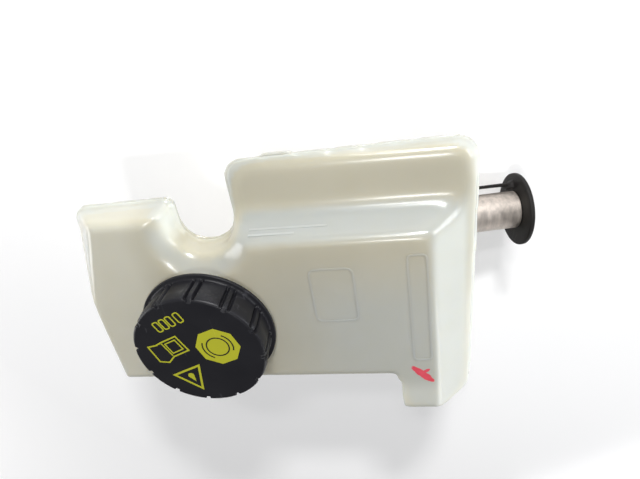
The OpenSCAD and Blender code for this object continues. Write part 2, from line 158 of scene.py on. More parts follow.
def grid_faces(rows: int, columns: int, wrap_rows: bool, wrap_columns: bool) -> Array:
    """Quads of a grid of points.

    Args:
        rows: number of rows.
        columns: number of columns.
        wrap_rows: whether the last row joins the first.
        wrap_columns: whether the last column joins the first.

    Returns:
        Array of quads, each of four point indices.
    """
    i = np.arange(rows if wrap_rows else rows - 1)[:, None]
    j = np.arange(columns if wrap_columns else columns - 1)[None, :]
    i1, j1 = (i + 1) % rows, (j + 1) % columns
    quads = np.stack([i * columns + j, i * columns + j1, i1 * columns + j1, i1 * columns + j], axis=-1)
    return quads.reshape(-1, 4)


def grid_object(name: str, grid: Array, wrap_rows: bool = False, wrap_columns: bool = False,
                sharp_deg: float = 35.0) -> bpy.types.Object:
    """Makes an object from a grid of points, closes its seams and poles and points its faces outwards.

    Args:
        name: the piece's name.
        grid: array of rows by columns by 3, in metres.
        wrap_rows: whether the last row joins the first.
        wrap_columns: whether the last column joins the first.
        sharp_deg: edges over this angle stay crisp.

    Returns:
        The linked object.
    """
    rows, columns = grid.shape[:2]
    faces = grid_faces(rows, columns, wrap_rows, wrap_columns)
    obj = mesh_object(name, grid.reshape(-1, 3), faces.tolist())
    tidy_mesh(obj, sharp_deg)
    return obj


def tidy_mesh(obj: bpy.types.Object, sharp_deg: float) -> None:
    """Merges doubles, drops empty faces, points faces outwards and marks sharp edges.

    Args:
        obj: the object whose mesh is tidied.
        sharp_deg: edges over this angle stay crisp.
    """
    work = bmesh.new()
    work.from_mesh(obj.data)
    bmesh.ops.remove_doubles(work, verts=work.verts, dist=1e-7)
    bmesh.ops.dissolve_degenerate(work, edges=work.edges, dist=1e-8)
    bmesh.ops.recalc_face_normals(work, faces=work.faces)
    work.to_mesh(obj.data)
    work.free()
    obj.data.polygons.foreach_set("use_smooth", [True] * len(obj.data.polygons))
    obj.data.set_sharp_from_angle(angle=math.radians(sharp_deg))
    obj.data.update()


def joined(name: str, pieces: list) -> bpy.types.Object:
    """Joins mesh objects into one.

    Args:
        name: the name of the result.
        pieces: the objects, all at the origin.

    Returns:
        The linked object; the pieces are removed.
    """
    work = bmesh.new()
    for piece in pieces:
        work.from_mesh(piece.data)
    mesh = bpy.data.meshes.new(name)
    work.to_mesh(mesh)
    work.free()
    for piece in pieces:
        bpy.data.meshes.remove(piece.data)
    obj = bpy.data.objects.new(name, mesh)
    bpy.context.scene.collection.objects.link(obj)
    return obj


def arc(centre: tuple, radius: float, start_deg: float, end_deg: float, count: int) -> Array:
    """Points of an arc in a plane, both ends included."""
    t = np.radians(np.linspace(start_deg, end_deg, count))
    return np.stack([centre[0] + radius * np.cos(t), centre[1] + radius * np.sin(t)], axis=-1)


def densify(points: Array, step: float) -> Array:
    """Adds points to an open line so that none lie further apart than a step.

    Args:
        points: array of n by 2.
        step: the largest distance between two points.

    Returns:
        The finer line, which keeps the given points.
    """
    length = np.hypot(*np.diff(points, axis=0).T)
    counts = np.maximum(1, np.ceil(length / step)).astype(int)
    parts = [a + (b - a) * np.linspace(0, 1, n, endpoint=False)[:, None]
             for a, b, n in zip(points[:-1], points[1:], counts)]
    return np.concatenate(parts + [points[-1:]])


def revolve(name: str, profile: Array, turns: Array, centre: Array, axes: Array,
            sharp_deg: float = 35.0) -> bpy.types.Object:
    """Carries a profile round an axis.

    A point of the surface is the centre, plus r times the turned unit vector, plus h along the axis.

    Args:
        name: the piece's name.
        profile: array of n by 2 with radius and height in mm, or n by m by 2 where the profile changes with
            the turn.
        turns: the m angles in radians.
        centre: origin of the profile in metres.
        axes: rows are the two cross axes and the axis of turning.
        sharp_deg: edges over this angle stay crisp.

    Returns:
        The linked object.
    """
    if profile.ndim == 2:
        profile = np.repeat(profile[:, None, :], len(turns), axis=1)
    radial = np.cos(turns)[:, None] * axes[0] + np.sin(turns)[:, None] * axes[1]
    grid = centre + MM * (profile[..., :1] * radial[None] + profile[..., 1:] * axes[2])
    return grid_object(name, grid, wrap_columns=True, sharp_deg=sharp_deg)


def ribbon(name: str, path: Array, width: float, height: float, place, closed: bool = False) -> bpy.types.Object:
    """Flat raised line along a path in a plane, with mitred corners.

    Each path point is moved to both sides along the mean normal of its two segments, divided by the cosine
    of half the turn, so that the line keeps its width.

    Args:
        name: the piece's name.
        path: array of n by 2 in mm.
        width: width of the line in mm.
        height: height of the line in mm.
        place: function that puts an array of local x, y, z in mm into the frame.
        closed: whether the path's end joins its start.

    Returns:
        The linked object.
    """
    ahead = np.roll(path, -1, axis=0) - path
    ahead /= np.maximum(np.hypot(*ahead.T), 1e-9)[:, None]
    behind = np.roll(ahead, 1, axis=0)
    if not closed:
        ahead[-1], behind[0] = behind[-1], ahead[0]
    n_ahead = np.stack([-ahead[:, 1], ahead[:, 0]], axis=-1)
    n_behind = np.stack([-behind[:, 1], behind[:, 0]], axis=-1)
    share = np.maximum(0.35, 1.0 + np.sum(n_ahead * n_behind, axis=1))
    side = (n_ahead + n_behind) / share[:, None]
    across = np.array([-0.5, -0.5, 0.5, 0.5]) * width
    up = np.array([0.0, 1.0, 1.0, 0.0]) * height
    flat = path[:, None, :] + side[:, None, :] * across[None, :, None]
    local = np.concatenate([flat, np.broadcast_to(up[None, :, None], flat.shape[:2] + (1,))], axis=-1)
    if not closed:
        ends = local[[0, -1]].mean(axis=1, keepdims=True)
        local = np.concatenate([np.repeat(ends[:1], 4, axis=1), local, np.repeat(ends[1:], 4, axis=1)])
    return grid_object(name, place(local), wrap_rows=closed, wrap_columns=True, sharp_deg=20.0)


def plate(name: str, outline: Array, height: float, place) -> bpy.types.Object:
    """Flat raised field with a star-shaped outline: rings shrink from its edge to its middle.

    Args:
        name: the piece's name.
        outline: array of n by 2 in mm.
        height: height of the field in mm.
        place: function that puts an array of local x, y, z in mm into the frame.

    Returns:
        The linked object.
    """
    middle = outline.mean(axis=0)
    shares = np.array([0.0, 1.0, 1.0, 0.5, 0.0])
    heights = np.array([0.0, 0.0, 1.0, 1.0, 1.0]) * height
    flat = middle + shares[:, None, None] * (outline - middle)[None]
    local = np.concatenate([flat, np.broadcast_to(heights[:, None, None], flat.shape[:2] + (1,))], axis=-1)
    return grid_object(name, place(local), wrap_columns=True, sharp_deg=20.0)


def dress(obj: bpy.types.Object, material: bpy.types.Material) -> None:
    """Gives an object one material."""
    obj.data.materials.clear()
    obj.data.materials.append(material)


def hand_over(obj: bpy.types.Object, body: Body, slot: Slot, *nodes: str) -> None:
    """Lets a finished piece ride on a body and stand for CAD nodes.

    Args:
        obj: the piece.
        body: the body that it moves with.
        slot: the record's slot of its finish; not used.
        nodes: the CAD nodes that it replaces.
    """
    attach(obj, body.value)
    if nodes:
        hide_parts(*nodes)
    LOG.info("%s: %d faces, rides on %s", obj.name, len(obj.data.polygons), body.value)


# Shader helpers


class Graph:
    """Short way to add and link the nodes of a material or of a node group."""

    def __init__(self, tree: bpy.types.NodeTree) -> None:
        """Keeps the tree that nodes are added to."""
        self.tree = tree

    def add(self, kind: str, inputs: dict | None = None, **settings: object) -> bpy.types.Node:
        """Adds a node.

        Args:
            kind: the node's type name without its ShaderNode prefix.
            inputs: socket name or number to a value or to another node's output.
            settings: properties of the node.

        Returns:
            The node.
        """
        node = self.tree.nodes.new("ShaderNode" + kind)
        for key, value in settings.items():
            setattr(node, key, value)
        for key, value in (inputs or {}).items():
            if isinstance(value, bpy.types.NodeSocket):
                self.tree.links.new(value, node.inputs[key])
            else:
                node.inputs[key].default_value = value
        return node

    def math(self, operation: str, *values: object, clamp: bool = False) -> bpy.types.NodeSocket:
        """Returns the output of a Math node on two or three values or sockets."""
        node = self.add("Math", dict(enumerate(values)), operation=operation, use_clamp=clamp)
        return node.outputs[0]

    def mix(self, factor: object, a: object, b: object, blend: str = "MIX") -> bpy.types.NodeSocket:
        """Returns the colour output of a Mix node."""
        node = self.add("Mix", data_type="RGBA", blend_type=blend)
        for socket, value in ((node.inputs[0], factor), (node.inputs[6], a), (node.inputs[7], b)):
            if isinstance(value, bpy.types.NodeSocket):
                self.tree.links.new(value, socket)
            elif isinstance(value, tuple):
                socket.default_value = (*value, 1.0)
            else:
                socket.default_value = value
        return node.outputs[2]

    def group(self, tree: bpy.types.NodeTree, inputs: dict) -> bpy.types.Node:
        """Places a node group with its own values."""
        node = self.add("Group", node_tree=tree)
        for key, value in inputs.items():
            if isinstance(value, bpy.types.NodeSocket):
                self.tree.links.new(value, node.inputs[key])
            elif isinstance(value, tuple) and len(value) == 3 and node.inputs[key].type == "RGBA":
                node.inputs[key].default_value = (*value, 1.0)
            else:
                node.inputs[key].default_value = value
        return node


def new_group(name: str, inputs: dict, outputs: dict) -> tuple:
    """Starts a node group with named sockets.

    Args:
        name: the group's name.
        inputs: socket name to a pair of socket type and default.
        outputs: socket name to its type.

    Returns:
        The tree, its Graph, the input node and the output node.
    """
    tree = bpy.data.node_groups.new(name, "ShaderNodeTree")
    for key, (kind, default) in inputs.items():
        socket = tree.interface.new_socket(key, in_out="INPUT", socket_type="NodeSocket" + kind)
        if default is not None:
            socket.default_value = default
    for key, kind in outputs.items():
        tree.interface.new_socket(key, in_out="OUTPUT", socket_type="NodeSocket" + kind)
    graph = Graph(tree)
    return tree, graph, tree.nodes.new("NodeGroupInput"), tree.nodes.new("NodeGroupOutput")


class Effects:
    """Node groups that several finishes share, each built once."""

    def __init__(self) -> None:
        """Builds all groups."""
        self.mottle = self._mottle()
        self.grain = self._grain()
        self.scuffs = self._scuffs()
        self.dab = self._dab()

    @staticmethod
    def _mottle() -> bpy.types.NodeTree:
        """Cloudy mix of two colours: large soft clouds with a share of finer ones."""
        tree, g, source, sink = new_group(
            "mottle",
            {"Vector": ("Vector", None), "Colour": ("Color", None), "Cloud Colour": ("Color", None),
             "Scale": ("Float", 20.0), "Amount": ("Float", 0.5)},
            {"Colour": "Color", "Mask": "Float"})
        wide = g.add("TexNoise", {"Vector": source.outputs["Vector"], "Scale": source.outputs["Scale"],
                                  "Detail": 1.0, "Roughness": 0.4})
        fine_scale = g.math("MULTIPLY", source.outputs["Scale"], 3.7)
        fine = g.add("TexNoise", {"Vector": source.outputs["Vector"], "Scale": fine_scale, "Detail": 1.0,
                                  "Roughness": 0.4})
        both = g.math("MULTIPLY_ADD", fine.outputs["Fac"], 0.15, g.math("MULTIPLY", wide.outputs["Fac"], 0.85))
        mask = g.add("MapRange", {0: both, 1: 0.25, 2: 0.75, 3: 0.0, 4: 1.0})
        share = g.math("MULTIPLY", mask.outputs[0], source.outputs["Amount"])
        colour = g.mix(share, source.outputs["Colour"], source.outputs["Cloud Colour"])
        tree.links.new(colour, sink.inputs["Colour"])
        tree.links.new(mask.outputs[0], sink.inputs["Mask"])
        return tree

    @staticmethod
    def _grain() -> bpy.types.NodeTree:
        """Fine moulded or sawn grain as a height, stretched by the Stretch vector."""
        tree, g, source, sink = new_group(
            "grain",
            {"Vector": ("Vector", None), "Stretch": ("Vector", (1.0, 1.0, 1.0)), "Scale": ("Float", 900.0)},
            {"Height": "Float"})
        stretched = g.add("VectorMath", {0: source.outputs["Vector"], 1: source.outputs["Stretch"]},
                          operation="MULTIPLY")
        noise = g.add("TexNoise", {"Vector": stretched.outputs[0], "Scale": source.outputs["Scale"],
                                   "Detail": 3.0, "Roughness": 0.65})
        tree.links.new(noise.outputs["Fac"], sink.inputs["Height"])
        return tree

    @staticmethod
    def _scuffs() -> bpy.types.NodeTree:
        """Thin pale scratches: narrow bands of a warped noise, broken up by a wider one."""
        tree, g, source, sink = new_group(
            "scuffs",
            {"Vector": ("Vector", None), "Scale": ("Float", 60.0), "Width": ("Float", 0.02),
             "Cover": ("Float", 0.4)},
            {"Mask": "Float"})
        turned = g.add("Mapping", {"Vector": source.outputs["Vector"], "Rotation": (0.4, 0.2, 0.7),
                                   "Scale": (1.0, 0.12, 1.0)})
        noise = g.add("TexNoise", {"Vector": turned.outputs[0], "Scale": source.outputs["Scale"],
                                   "Detail": 2.0, "Distortion": 0.6})
        off = g.math("ABSOLUTE", g.math("SUBTRACT", noise.outputs["Fac"], 0.5))
        line = g.math("SUBTRACT", 1.0, g.math("DIVIDE", off, source.outputs["Width"]), clamp=True)
        wide = g.add("TexNoise", {"Vector": source.outputs["Vector"], "Scale": 45.0, "Detail": 1.0})
        patch = g.math("GREATER_THAN", source.outputs["Cover"], wide.outputs["Fac"])
        tree.links.new(g.math("MULTIPLY", line, patch), sink.inputs["Mask"])
        return tree

    @staticmethod
    def _dab() -> bpy.types.NodeTree:
        """Brushed dab: a turned ellipse on the top face whose edge is frayed by noise."""
        tree, g, source, sink = new_group(
            "dab",
            {"Vector": ("Vector", None), "Centre": ("Vector", (0.0, 0.0, 0.0)), "Turn": ("Float", 0.0),
             "Half Length": ("Float", 0.006), "Half Width": ("Float", 0.0015), "Fray": ("Float", 0.5)},
            {"Mask": "Float"})
        moved = g.add("VectorMath", {0: source.outputs["Vector"], 1: source.outputs["Centre"]},
                      operation="SUBTRACT")
        turned = g.add("VectorRotate", {"Vector": moved.outputs[0], "Angle": source.outputs["Turn"]},
                       rotation_type="Z_AXIS")
        parts = g.add("SeparateXYZ", {0: turned.outputs[0]})
        along = g.math("POWER", g.math("DIVIDE", parts.outputs["X"], source.outputs["Half Length"]), 2.0)
        across = g.math("POWER", g.math("DIVIDE", parts.outputs["Y"], source.outputs["Half Width"]), 2.0)
        noise = g.add("TexNoise", {"Vector": source.outputs["Vector"], "Scale": 420.0, "Detail": 3.0})
        frayed = g.math("MULTIPLY_ADD", g.math("SUBTRACT", noise.outputs["Fac"], 0.5), source.outputs["Fray"],
                        g.math("ADD", along, across))
        high = g.math("LESS_THAN", g.math("ABSOLUTE", parts.outputs["Z"]), 0.003)
        inside = g.add("MapRange", {0: frayed, 1: 1.12, 2: 0.92, 3: 0.0, 4: 1.0})
        tree.links.new(g.math("MULTIPLY", inside.outputs[0], high), sink.inputs["Mask"])
        return tree


def start_material(name: str) -> tuple:
    """Starts a material.

    Args:
        name: the material's name.

    Returns:
        The material, its Graph, its Principled BSDF node and the Object coordinates output.
    """
    material = bpy.data.materials.new(name)
    material.use_nodes = True
    graph = Graph(material.node_tree)
    shader = material.node_tree.nodes["Principled BSDF"]
    coordinates = graph.add("TexCoord").outputs["Object"]
    return material, graph, shader, coordinates


def bump(graph: Graph, shader: bpy.types.Node, height: object, strength: float, distance: float) -> None:
    """Feeds a height through a Bump node to the shader's Normal.

    Args:
        graph: the material's graph.
        shader: the Principled BSDF.
        height: socket with the height.
        strength: strength of the bump.
        distance: height in metres of a full step.
    """
    node = graph.add("Bump", {"Strength": strength, "Distance": distance, "Height": height})
    graph.tree.links.new(node.outputs[0], shader.inputs["Normal"])


# Finishes


@dataclass(frozen=True)
class MilkyPlastic:
    """Natural polypropylene: tan over the hollow, with light and shade painted in by masks: a cooler painted shade
    over its deep middle, a cool painted reflection tone on its walls, and a painted glow in creamy and pale bands
    at its rims and on slopes turned from the lamp.
    """

    face: Colour
    # The next four colours are painted light and shade: shade over the deep hollow, a reflection tone on the walls,
    # and the glow at the rims in two bands.
    deep: Colour
    wall: Colour
    glow_cream: Colour
    pale: Colour
    subsurface: float = 0.35
    roughness: float = 0.23
    dab: bool = False

    def build(self, name: str, effects: Effects, datum: Datum) -> bpy.types.Material:
        """Builds the material.

        Args:
            name: the material's name.
            effects: the shared groups.
            datum: places of the part.

        Returns:
            The material, which reads the skin's rim, slope, deep and away attributes; these masks paint the glow,
            the reflection tone and the shade into its colour.
        """
        material, g, shader, at = start_material(name)
        rim, slope, deep, away = (g.add("Attribute", attribute_name=key).outputs["Fac"]
                                  for key in ("rim", "slope", "deep", "away"))
        clouds = g.group(effects.mottle, {"Vector": at, "Colour": self.face,
                                          "Cloud Colour": tuple(min(1.0, 1.12 * c) for c in self.face),
                                          "Scale": 22.0, "Amount": 0.8})
        # Painted shade: a cooler grey over the deep hollow, as its dark inside shows through the plastic.
        colour = g.mix(deep, clouds.outputs["Colour"], self.deep)
        # Painted reflection: walls, slopes and the dish floor take a cooler tone that stands for the sky they
        # mirror.
        colour = g.mix(slope, colour, self.wall)
        # Painted glow: creamy, then pale bands at the rims, where light comes through the thin plastic from the
        # side.
        colour = g.mix(self._band(g, rim, 0.02, 0.55), colour, self.glow_cream)
        colour = g.mix(self._band(g, rim, 0.62, 0.95), colour, self.pale)
        # Painted glow: slopes turned from the main lamp are made paler, for its light shining through the hollow
        # tank.
        colour = g.mix(away, colour, tuple(min(0.9, 1.72 * c) for c in self.pale))
        flow = g.group(effects.mottle, {"Vector": at, "Colour": (1.0, 1.0, 1.0),
                                        "Cloud Colour": (0.94, 0.935, 0.90), "Scale": 55.0, "Amount": 0.4})
        colour = g.mix(1.0, colour, flow.outputs["Colour"], blend="MULTIPLY")
        if self.dab:
            colour = self._paint(g, effects, datum, at, colour)
        g.tree.links.new(colour, shader.inputs["Base Color"])
        shader.inputs["Roughness"].default_value = self.roughness
        shader.inputs["Subsurface Weight"].default_value = self.subsurface
        shader.inputs["Subsurface Radius"].default_value = (1.0, 0.85, 0.6)
        shader.inputs["Subsurface Scale"].default_value = 0.005
        shader.inputs["IOR"].default_value = 1.49
        shader.inputs["Specular IOR Level"].default_value = 0.62
        ripple = g.add("TexNoise", {"Vector": at, "Scale": 120.0, "Detail": 1.0})
        bump(g, shader, ripple.outputs["Fac"], 0.10, 0.0003)
        return material

    @staticmethod
    def _band(g: Graph, value: object, low: float, high: float) -> object:
        """Returns a soft step of a value between two limits."""
        return g.add("MapRange", {0: value, 1: low, 2: high}, interpolation_type="SMOOTHSTEP").outputs[0]

    @staticmethod
    def _paint(g: Graph, effects: Effects, datum: Datum, at: object, colour: object) -> object:
        """Adds the red dab of the plant's mark: one stroke and a spur, in a red that varies in tone.

        Args:
            g: the material's graph.
            effects: the shared groups.
            datum: places of the part.
            at: Object coordinates.
            colour: the colour under the paint.

        Returns:
            The colour with the dab.
        """
        stroke = g.group(effects.dab, {"Vector": at, "Centre": tuple(datum.point(96.4, -34.6)),
                                       "Turn": math.radians(45.5), "Half Length": 0.0070,
                                       "Half Width": 0.0019, "Fray": 1.1})
        spur = g.group(effects.dab, {"Vector": at, "Centre": tuple(datum.point(97.9, -32.6)),
                                     "Turn": math.radians(-38.0), "Half Length": 0.0024,
                                     "Half Width": 0.0009, "Fray": 1.2})
        both = g.math("MAXIMUM", stroke.outputs["Mask"], spur.outputs["Mask"])
        thin = g.add("TexNoise", {"Vector": at, "Scale": 300.0, "Detail": 2.0})
        red = g.mix(thin.outputs["Fac"], (0.78, 0.075, 0.12), (0.62, 0.035, 0.065))
        return g.mix(g.math("MULTIPLY", both, 0.94), colour, red)


@dataclass(frozen=True)
class GrainedPlastic:
    """Opaque moulded plastic with a fine spark-eroded grain and a few scuffs."""

    base: Colour
    cloud: Colour
    scuff: Colour
    roughness: float = 0.42
    gloss: float = 0.5
    grain_scale: float = 1400.0
    grain_height: float = 0.00004
    scuff_cover: float = 0.42

    def build(self, name: str, effects: Effects) -> bpy.types.Material:
        """Builds the material and returns it."""
        material, g, shader, at = start_material(name)
        clouds = g.group(effects.mottle, {"Vector": at, "Colour": self.base, "Cloud Colour": self.cloud,
                                          "Scale": 60.0, "Amount": 0.7})
        scuffs = g.group(effects.scuffs, {"Vector": at, "Scale": 70.0, "Width": 0.012,
                                          "Cover": self.scuff_cover})
        share = g.math("MULTIPLY", scuffs.outputs["Mask"], 0.35)
        g.tree.links.new(g.mix(share, clouds.outputs["Colour"], self.scuff), shader.inputs["Base Color"])
        rough = g.add("MapRange", {0: clouds.outputs["Mask"], 3: self.roughness - 0.05,
                                   4: self.roughness + 0.07})
        g.tree.links.new(rough.outputs[0], shader.inputs["Roughness"])
        shader.inputs["Specular IOR Level"].default_value = self.gloss
        grain = g.group(effects.grain, {"Vector": at, "Scale": self.grain_scale})
        bump(g, shader, grain.outputs["Height"], 0.5, self.grain_height)
        return material


@dataclass(frozen=True)
class BrushedSteel:
    """Drawn and turned tube: fine rings round the axis, long faint streaks along it and a warm tint."""

    base: Colour
    stain: Colour
    axes: tuple

    def build(self, name: str, effects: Effects) -> bpy.types.Material:
        """Builds the material and returns it; its streaks follow the tube's own axis."""
        material, g, shader, at = start_material(name)
        turn = Matrix([tuple(a) for a in self.axes]).to_euler()
        along = g.add("Mapping", {"Vector": at, "Rotation": tuple(turn)}, vector_type="POINT").outputs[0]
        rings = g.group(effects.grain, {"Vector": along, "Stretch": (1.0, 0.03, 0.03), "Scale": 1600.0})
        streaks = g.group(effects.grain, {"Vector": along, "Stretch": (0.03, 1.0, 1.0), "Scale": 500.0})
        clouds = g.group(effects.mottle, {"Vector": along, "Colour": self.base, "Cloud Colour": self.stain,
                                          "Scale": 45.0, "Amount": 0.6})
        dark = g.add("MapRange", {0: streaks.outputs["Height"], 1: 0.35, 2: 0.65, 3: 0.72, 4: 1.0})
        tint = g.add("CombineColor", {0: dark.outputs[0], 1: dark.outputs[0], 2: dark.outputs[0]})
        colour = g.mix(1.0, clouds.outputs["Colour"], tint.outputs[0], blend="MULTIPLY")
        g.tree.links.new(colour, shader.inputs["Base Color"])
        shader.inputs["Metallic"].default_value = 1.0
        rough = g.add("MapRange", {0: streaks.outputs["Height"], 1: 0.3, 2: 0.7, 3: 0.50, 4: 0.66})
        g.tree.links.new(rough.outputs[0], shader.inputs["Roughness"])
        height = g.math("MULTIPLY_ADD", rings.outputs["Height"], 0.6,
                        g.math("MULTIPLY", streaks.outputs["Height"], 0.4))
        bump(g, shader, height, 0.35, 0.00003)
        return material


@dataclass(frozen=True)
class PlainFinish:
    """Finish of the small inner pieces: mottled colour with fine grain."""

    base: Colour
    cloud: Colour
    roughness: float
    metallic: float = 0.0
    scale: float = 120.0
    grain_scale: float = 900.0
    grain_height: float = 0.00003
    transmission: float = 0.0

    def build(self, name: str, effects: Effects) -> bpy.types.Material:
        """Builds the material and returns it."""
        material, g, shader, at = start_material(name)
        clouds = g.group(effects.mottle, {"Vector": at, "Colour": self.base, "Cloud Colour": self.cloud,
                                          "Scale": self.scale, "Amount": 0.9})
        g.tree.links.new(clouds.outputs["Colour"], shader.inputs["Base Color"])
        rough = g.add("MapRange", {0: clouds.outputs["Mask"], 3: self.roughness,
                                   4: min(1.0, self.roughness + 0.1)})
        g.tree.links.new(rough.outputs[0], shader.inputs["Roughness"])
        shader.inputs["Metallic"].default_value = self.metallic
        shader.inputs["Transmission Weight"].default_value = self.transmission
        grain = g.group(effects.grain, {"Vector": at, "Scale": self.grain_scale})
        bump(g, shader, grain.outputs["Height"], 0.4, self.grain_height)
        return material


@dataclass(frozen=True)
class Gauze:
    """Woven nylon gauze: crossed threads as a height, with painted shade in the holes between them."""

    thread: Colour = (0.72, 0.72, 0.66)
    # Painted shade: the dark grey of the holes between the threads.
    gap: Colour = (0.38, 0.38, 0.34)
    pitch: float = 0.0007

    def build(self, name: str, effects: Effects) -> bpy.types.Material:
        """Builds the material and returns it; the weave runs on all three axes."""
        material, g, shader, at = start_material(name)
        parts = g.add("SeparateXYZ", {0: at})
        waves = [g.math("ABSOLUTE", g.math("SINE", g.math("MULTIPLY", parts.outputs[i], math.pi / self.pitch)))
                 for i in range(3)]
        threads = g.math("MAXIMUM", g.math("MAXIMUM", waves[0], waves[1]), waves[2])
        shade = g.add("MapRange", {0: threads, 1: 0.6, 2: 0.95, 3: 0.0, 4: 1.0})
        clouds = g.group(effects.mottle, {"Vector": at, "Colour": self.thread,
                                          "Cloud Colour": (0.62, 0.62, 0.54), "Scale": 70.0, "Amount": 0.6})
        # Painted shade in the holes, thread colour on the threads.
        g.tree.links.new(g.mix(shade.outputs[0], self.gap, clouds.outputs["Colour"]),
                         shader.inputs["Base Color"])
        shader.inputs["Roughness"].default_value = 0.7
        bump(g, shader, threads, 0.6, 0.0001)
        return material


# The tank


def deep_shade_share(drawn: Array) -> Array:
    """Returns a mask of the top face over the deep right part of the tank, from points in the drawing's mm, where
    the finish paints the shade of the deep hollow.
    """
    ahead = np.clip((drawn[:, 0] - 18.0) / 45.0, 0.0, 1.0) * np.clip((34.0 - drawn[:, 1]) / 28.0, 0.0, 1.0)
    return ahead * np.clip((drawn[:, 2] + 4.0) / 3.0, 0.0, 1.0)


@dataclass(frozen=True)
class SoftZone:
    """Box in the drawing's mm in which a skin gets a larger radius."""

    low: tuple[float, float, float]
    high: tuple[float, float, float]
    margin: float
    passes: int


@dataclass
class TankSkin:
    """Soft moulded skin of one tank half.

    The half's CAD solid is remeshed to even small quads, then every point moves a share of the way to the
    mean of its neighbours in several passes, which rounds each edge as a mould does and leaves flats flat.
    """

    node: str
    slot: Slot
    voxel: float
    passes: int
    datum: Datum
    zones: tuple = ()
    wave: float = 0.06
    inner_edge_glow: float = 0.12

    def build(self, material: bpy.types.Material) -> bpy.types.Object:
        """Builds the skin.

        Args:
            material: the half's finish.

        Returns:
            The piece, which stands for the CAD node.
        """
        obj = self._remeshed()
        mesh = obj.data
        count = len(mesh.vertices)
        edges = np.empty(2 * len(mesh.edges), np.int32)
        mesh.edges.foreach_get("vertices", edges)
        edges = edges.reshape(-1, 2)
        points = np.empty(3 * count, np.float32)
        mesh.vertices.foreach_get("co", points)
        points = points.reshape(-1, 3).astype(float)
        for zone in self.zones:
            points = self._softened(points, edges, zone)
        points = self._relaxed(points, edges, self.passes, 0.5)
        points += self._waves(points)[:, None] * self._normals(mesh, points)
        normals = self._normals(mesh, points)
        # Masks for light and shade painted into the finish: glow at the rims, a reflection tone on slopes, shade
        # over the deep hollow, and glow on slopes turned from the lamp.
        self.store(mesh, "rim", self._glow_rim(points, normals, edges))
        self.store(mesh, "slope", self._reflection_slope(points, normals, edges))
        self.store(mesh, "deep", self._relaxed(deep_shade_share(self._drawn(points))[:, None], edges, 12, 0.6)[:, 0])
        self.store(mesh, "away", self._glow_away(points, normals, edges))
        mesh.polygons.foreach_set("use_smooth", [True] * len(mesh.polygons))
        dress(obj, material)
        hand_over(obj, Body.TANK, self.slot, self.node)
        return obj

    def _remeshed(self) -> bpy.types.Object:
        """Returns a copy of the CAD solid, merged and remeshed to quads of the voxel's size."""
        name = self.node + "_skin"
        obj = bpy.data.objects.new(name, frame["nodes"][self.node].data.copy())
        bpy.context.scene.collection.objects.link(obj)
        work = bmesh.new()
        work.from_mesh(obj.data)
        bmesh.ops.remove_doubles(work, verts=work.verts, dist=1e-6)
        work.to_mesh(obj.data)
        work.free()
        remesh = obj.modifiers.new("Even", "REMESH")
        remesh.mode = "VOXEL"
        remesh.voxel_size = self.voxel * MM
        graph = bpy.context.evaluated_depsgraph_get()
        mesh = bpy.data.meshes.new_from_object(obj.evaluated_get(graph))
        obj.modifiers.clear()
        obj.data = mesh
        mesh.name = name
        return obj

    @staticmethod
    def _means(values: Array, edges: Array) -> Array:
        """Returns, for each point, the mean of its neighbours' values."""
        count = len(values)
        a, b = edges[:, 0], edges[:, 1]
        degree = np.maximum(1, np.bincount(a, minlength=count) + np.bincount(b, minlength=count))
        sums = [np.bincount(a, column[b], count) + np.bincount(b, column[a], count) for column in values.T]
        return np.stack(sums, axis=-1) / degree[:, None]

    @classmethod
    def _relaxed(cls, values: Array, edges: Array, passes: int, share: object) -> Array:
        """Moves values towards their neighbours' mean.

        Args:
            values: array of n by k.
            edges: array of point pairs.
            passes: how often.
            share: how far in each pass, 0 to 1, as one number or one for each point.

        Returns:
            The relaxed values.
        """
        for _ in range(passes):
            values = values + share * (cls._means(values, edges) - values)
        return values

    def _drawn(self, points: Array) -> Array:
        """Returns the points in the drawing's x, y and z, in mm."""
        return (self.datum.point(0.0, 0.0) - points) / MM * np.array([1.0, 1.0, -1.0])

    def _softened(self, points: Array, edges: Array, zone: SoftZone) -> Array:
        """Relaxes the points of a zone, as a large mould radius would, fading out over the zone's margin.

        Args:
            points: array of n by 3, in metres.
            edges: array of point pairs.
            zone: where, and how often.
        """
        drawn = self._drawn(points)
        low, high = np.array(zone.low), np.array(zone.high)
        inside = np.minimum(drawn - low, high - drawn).min(axis=1)
        share = 0.5 * np.clip(inside / zone.margin, 0.0, 1.0)[:, None]
        return self._relaxed(points, edges, zone.passes, share)

    @staticmethod
    def _normals(mesh: bpy.types.Mesh, points: Array) -> Array:
        """Writes the points to the mesh and returns its vertex normals."""
        mesh.vertices.foreach_set("co", points.astype(np.float32).ravel())
        mesh.update()
        normals = np.empty(3 * len(points), np.float32)
        mesh.vertex_normals.foreach_get("vector", normals)
        return normals.reshape(-1, 3).astype(float)

    def _waves(self, points: Array) -> Array:
        """Returns sink marks in metres: a sum of long sine waves in three crossing directions."""
        ways = np.array([[150.0, 60.0, 90.0], [-70.0, 190.0, 40.0], [110.0, -130.0, 160.0], [40.0, 35.0, 20.0]])
        shifts = np.array([0.3, 1.7, 4.1, 2.2])
        return self.wave * MM * np.sin(points @ ways.T + shifts).sum(axis=1) / len(ways)

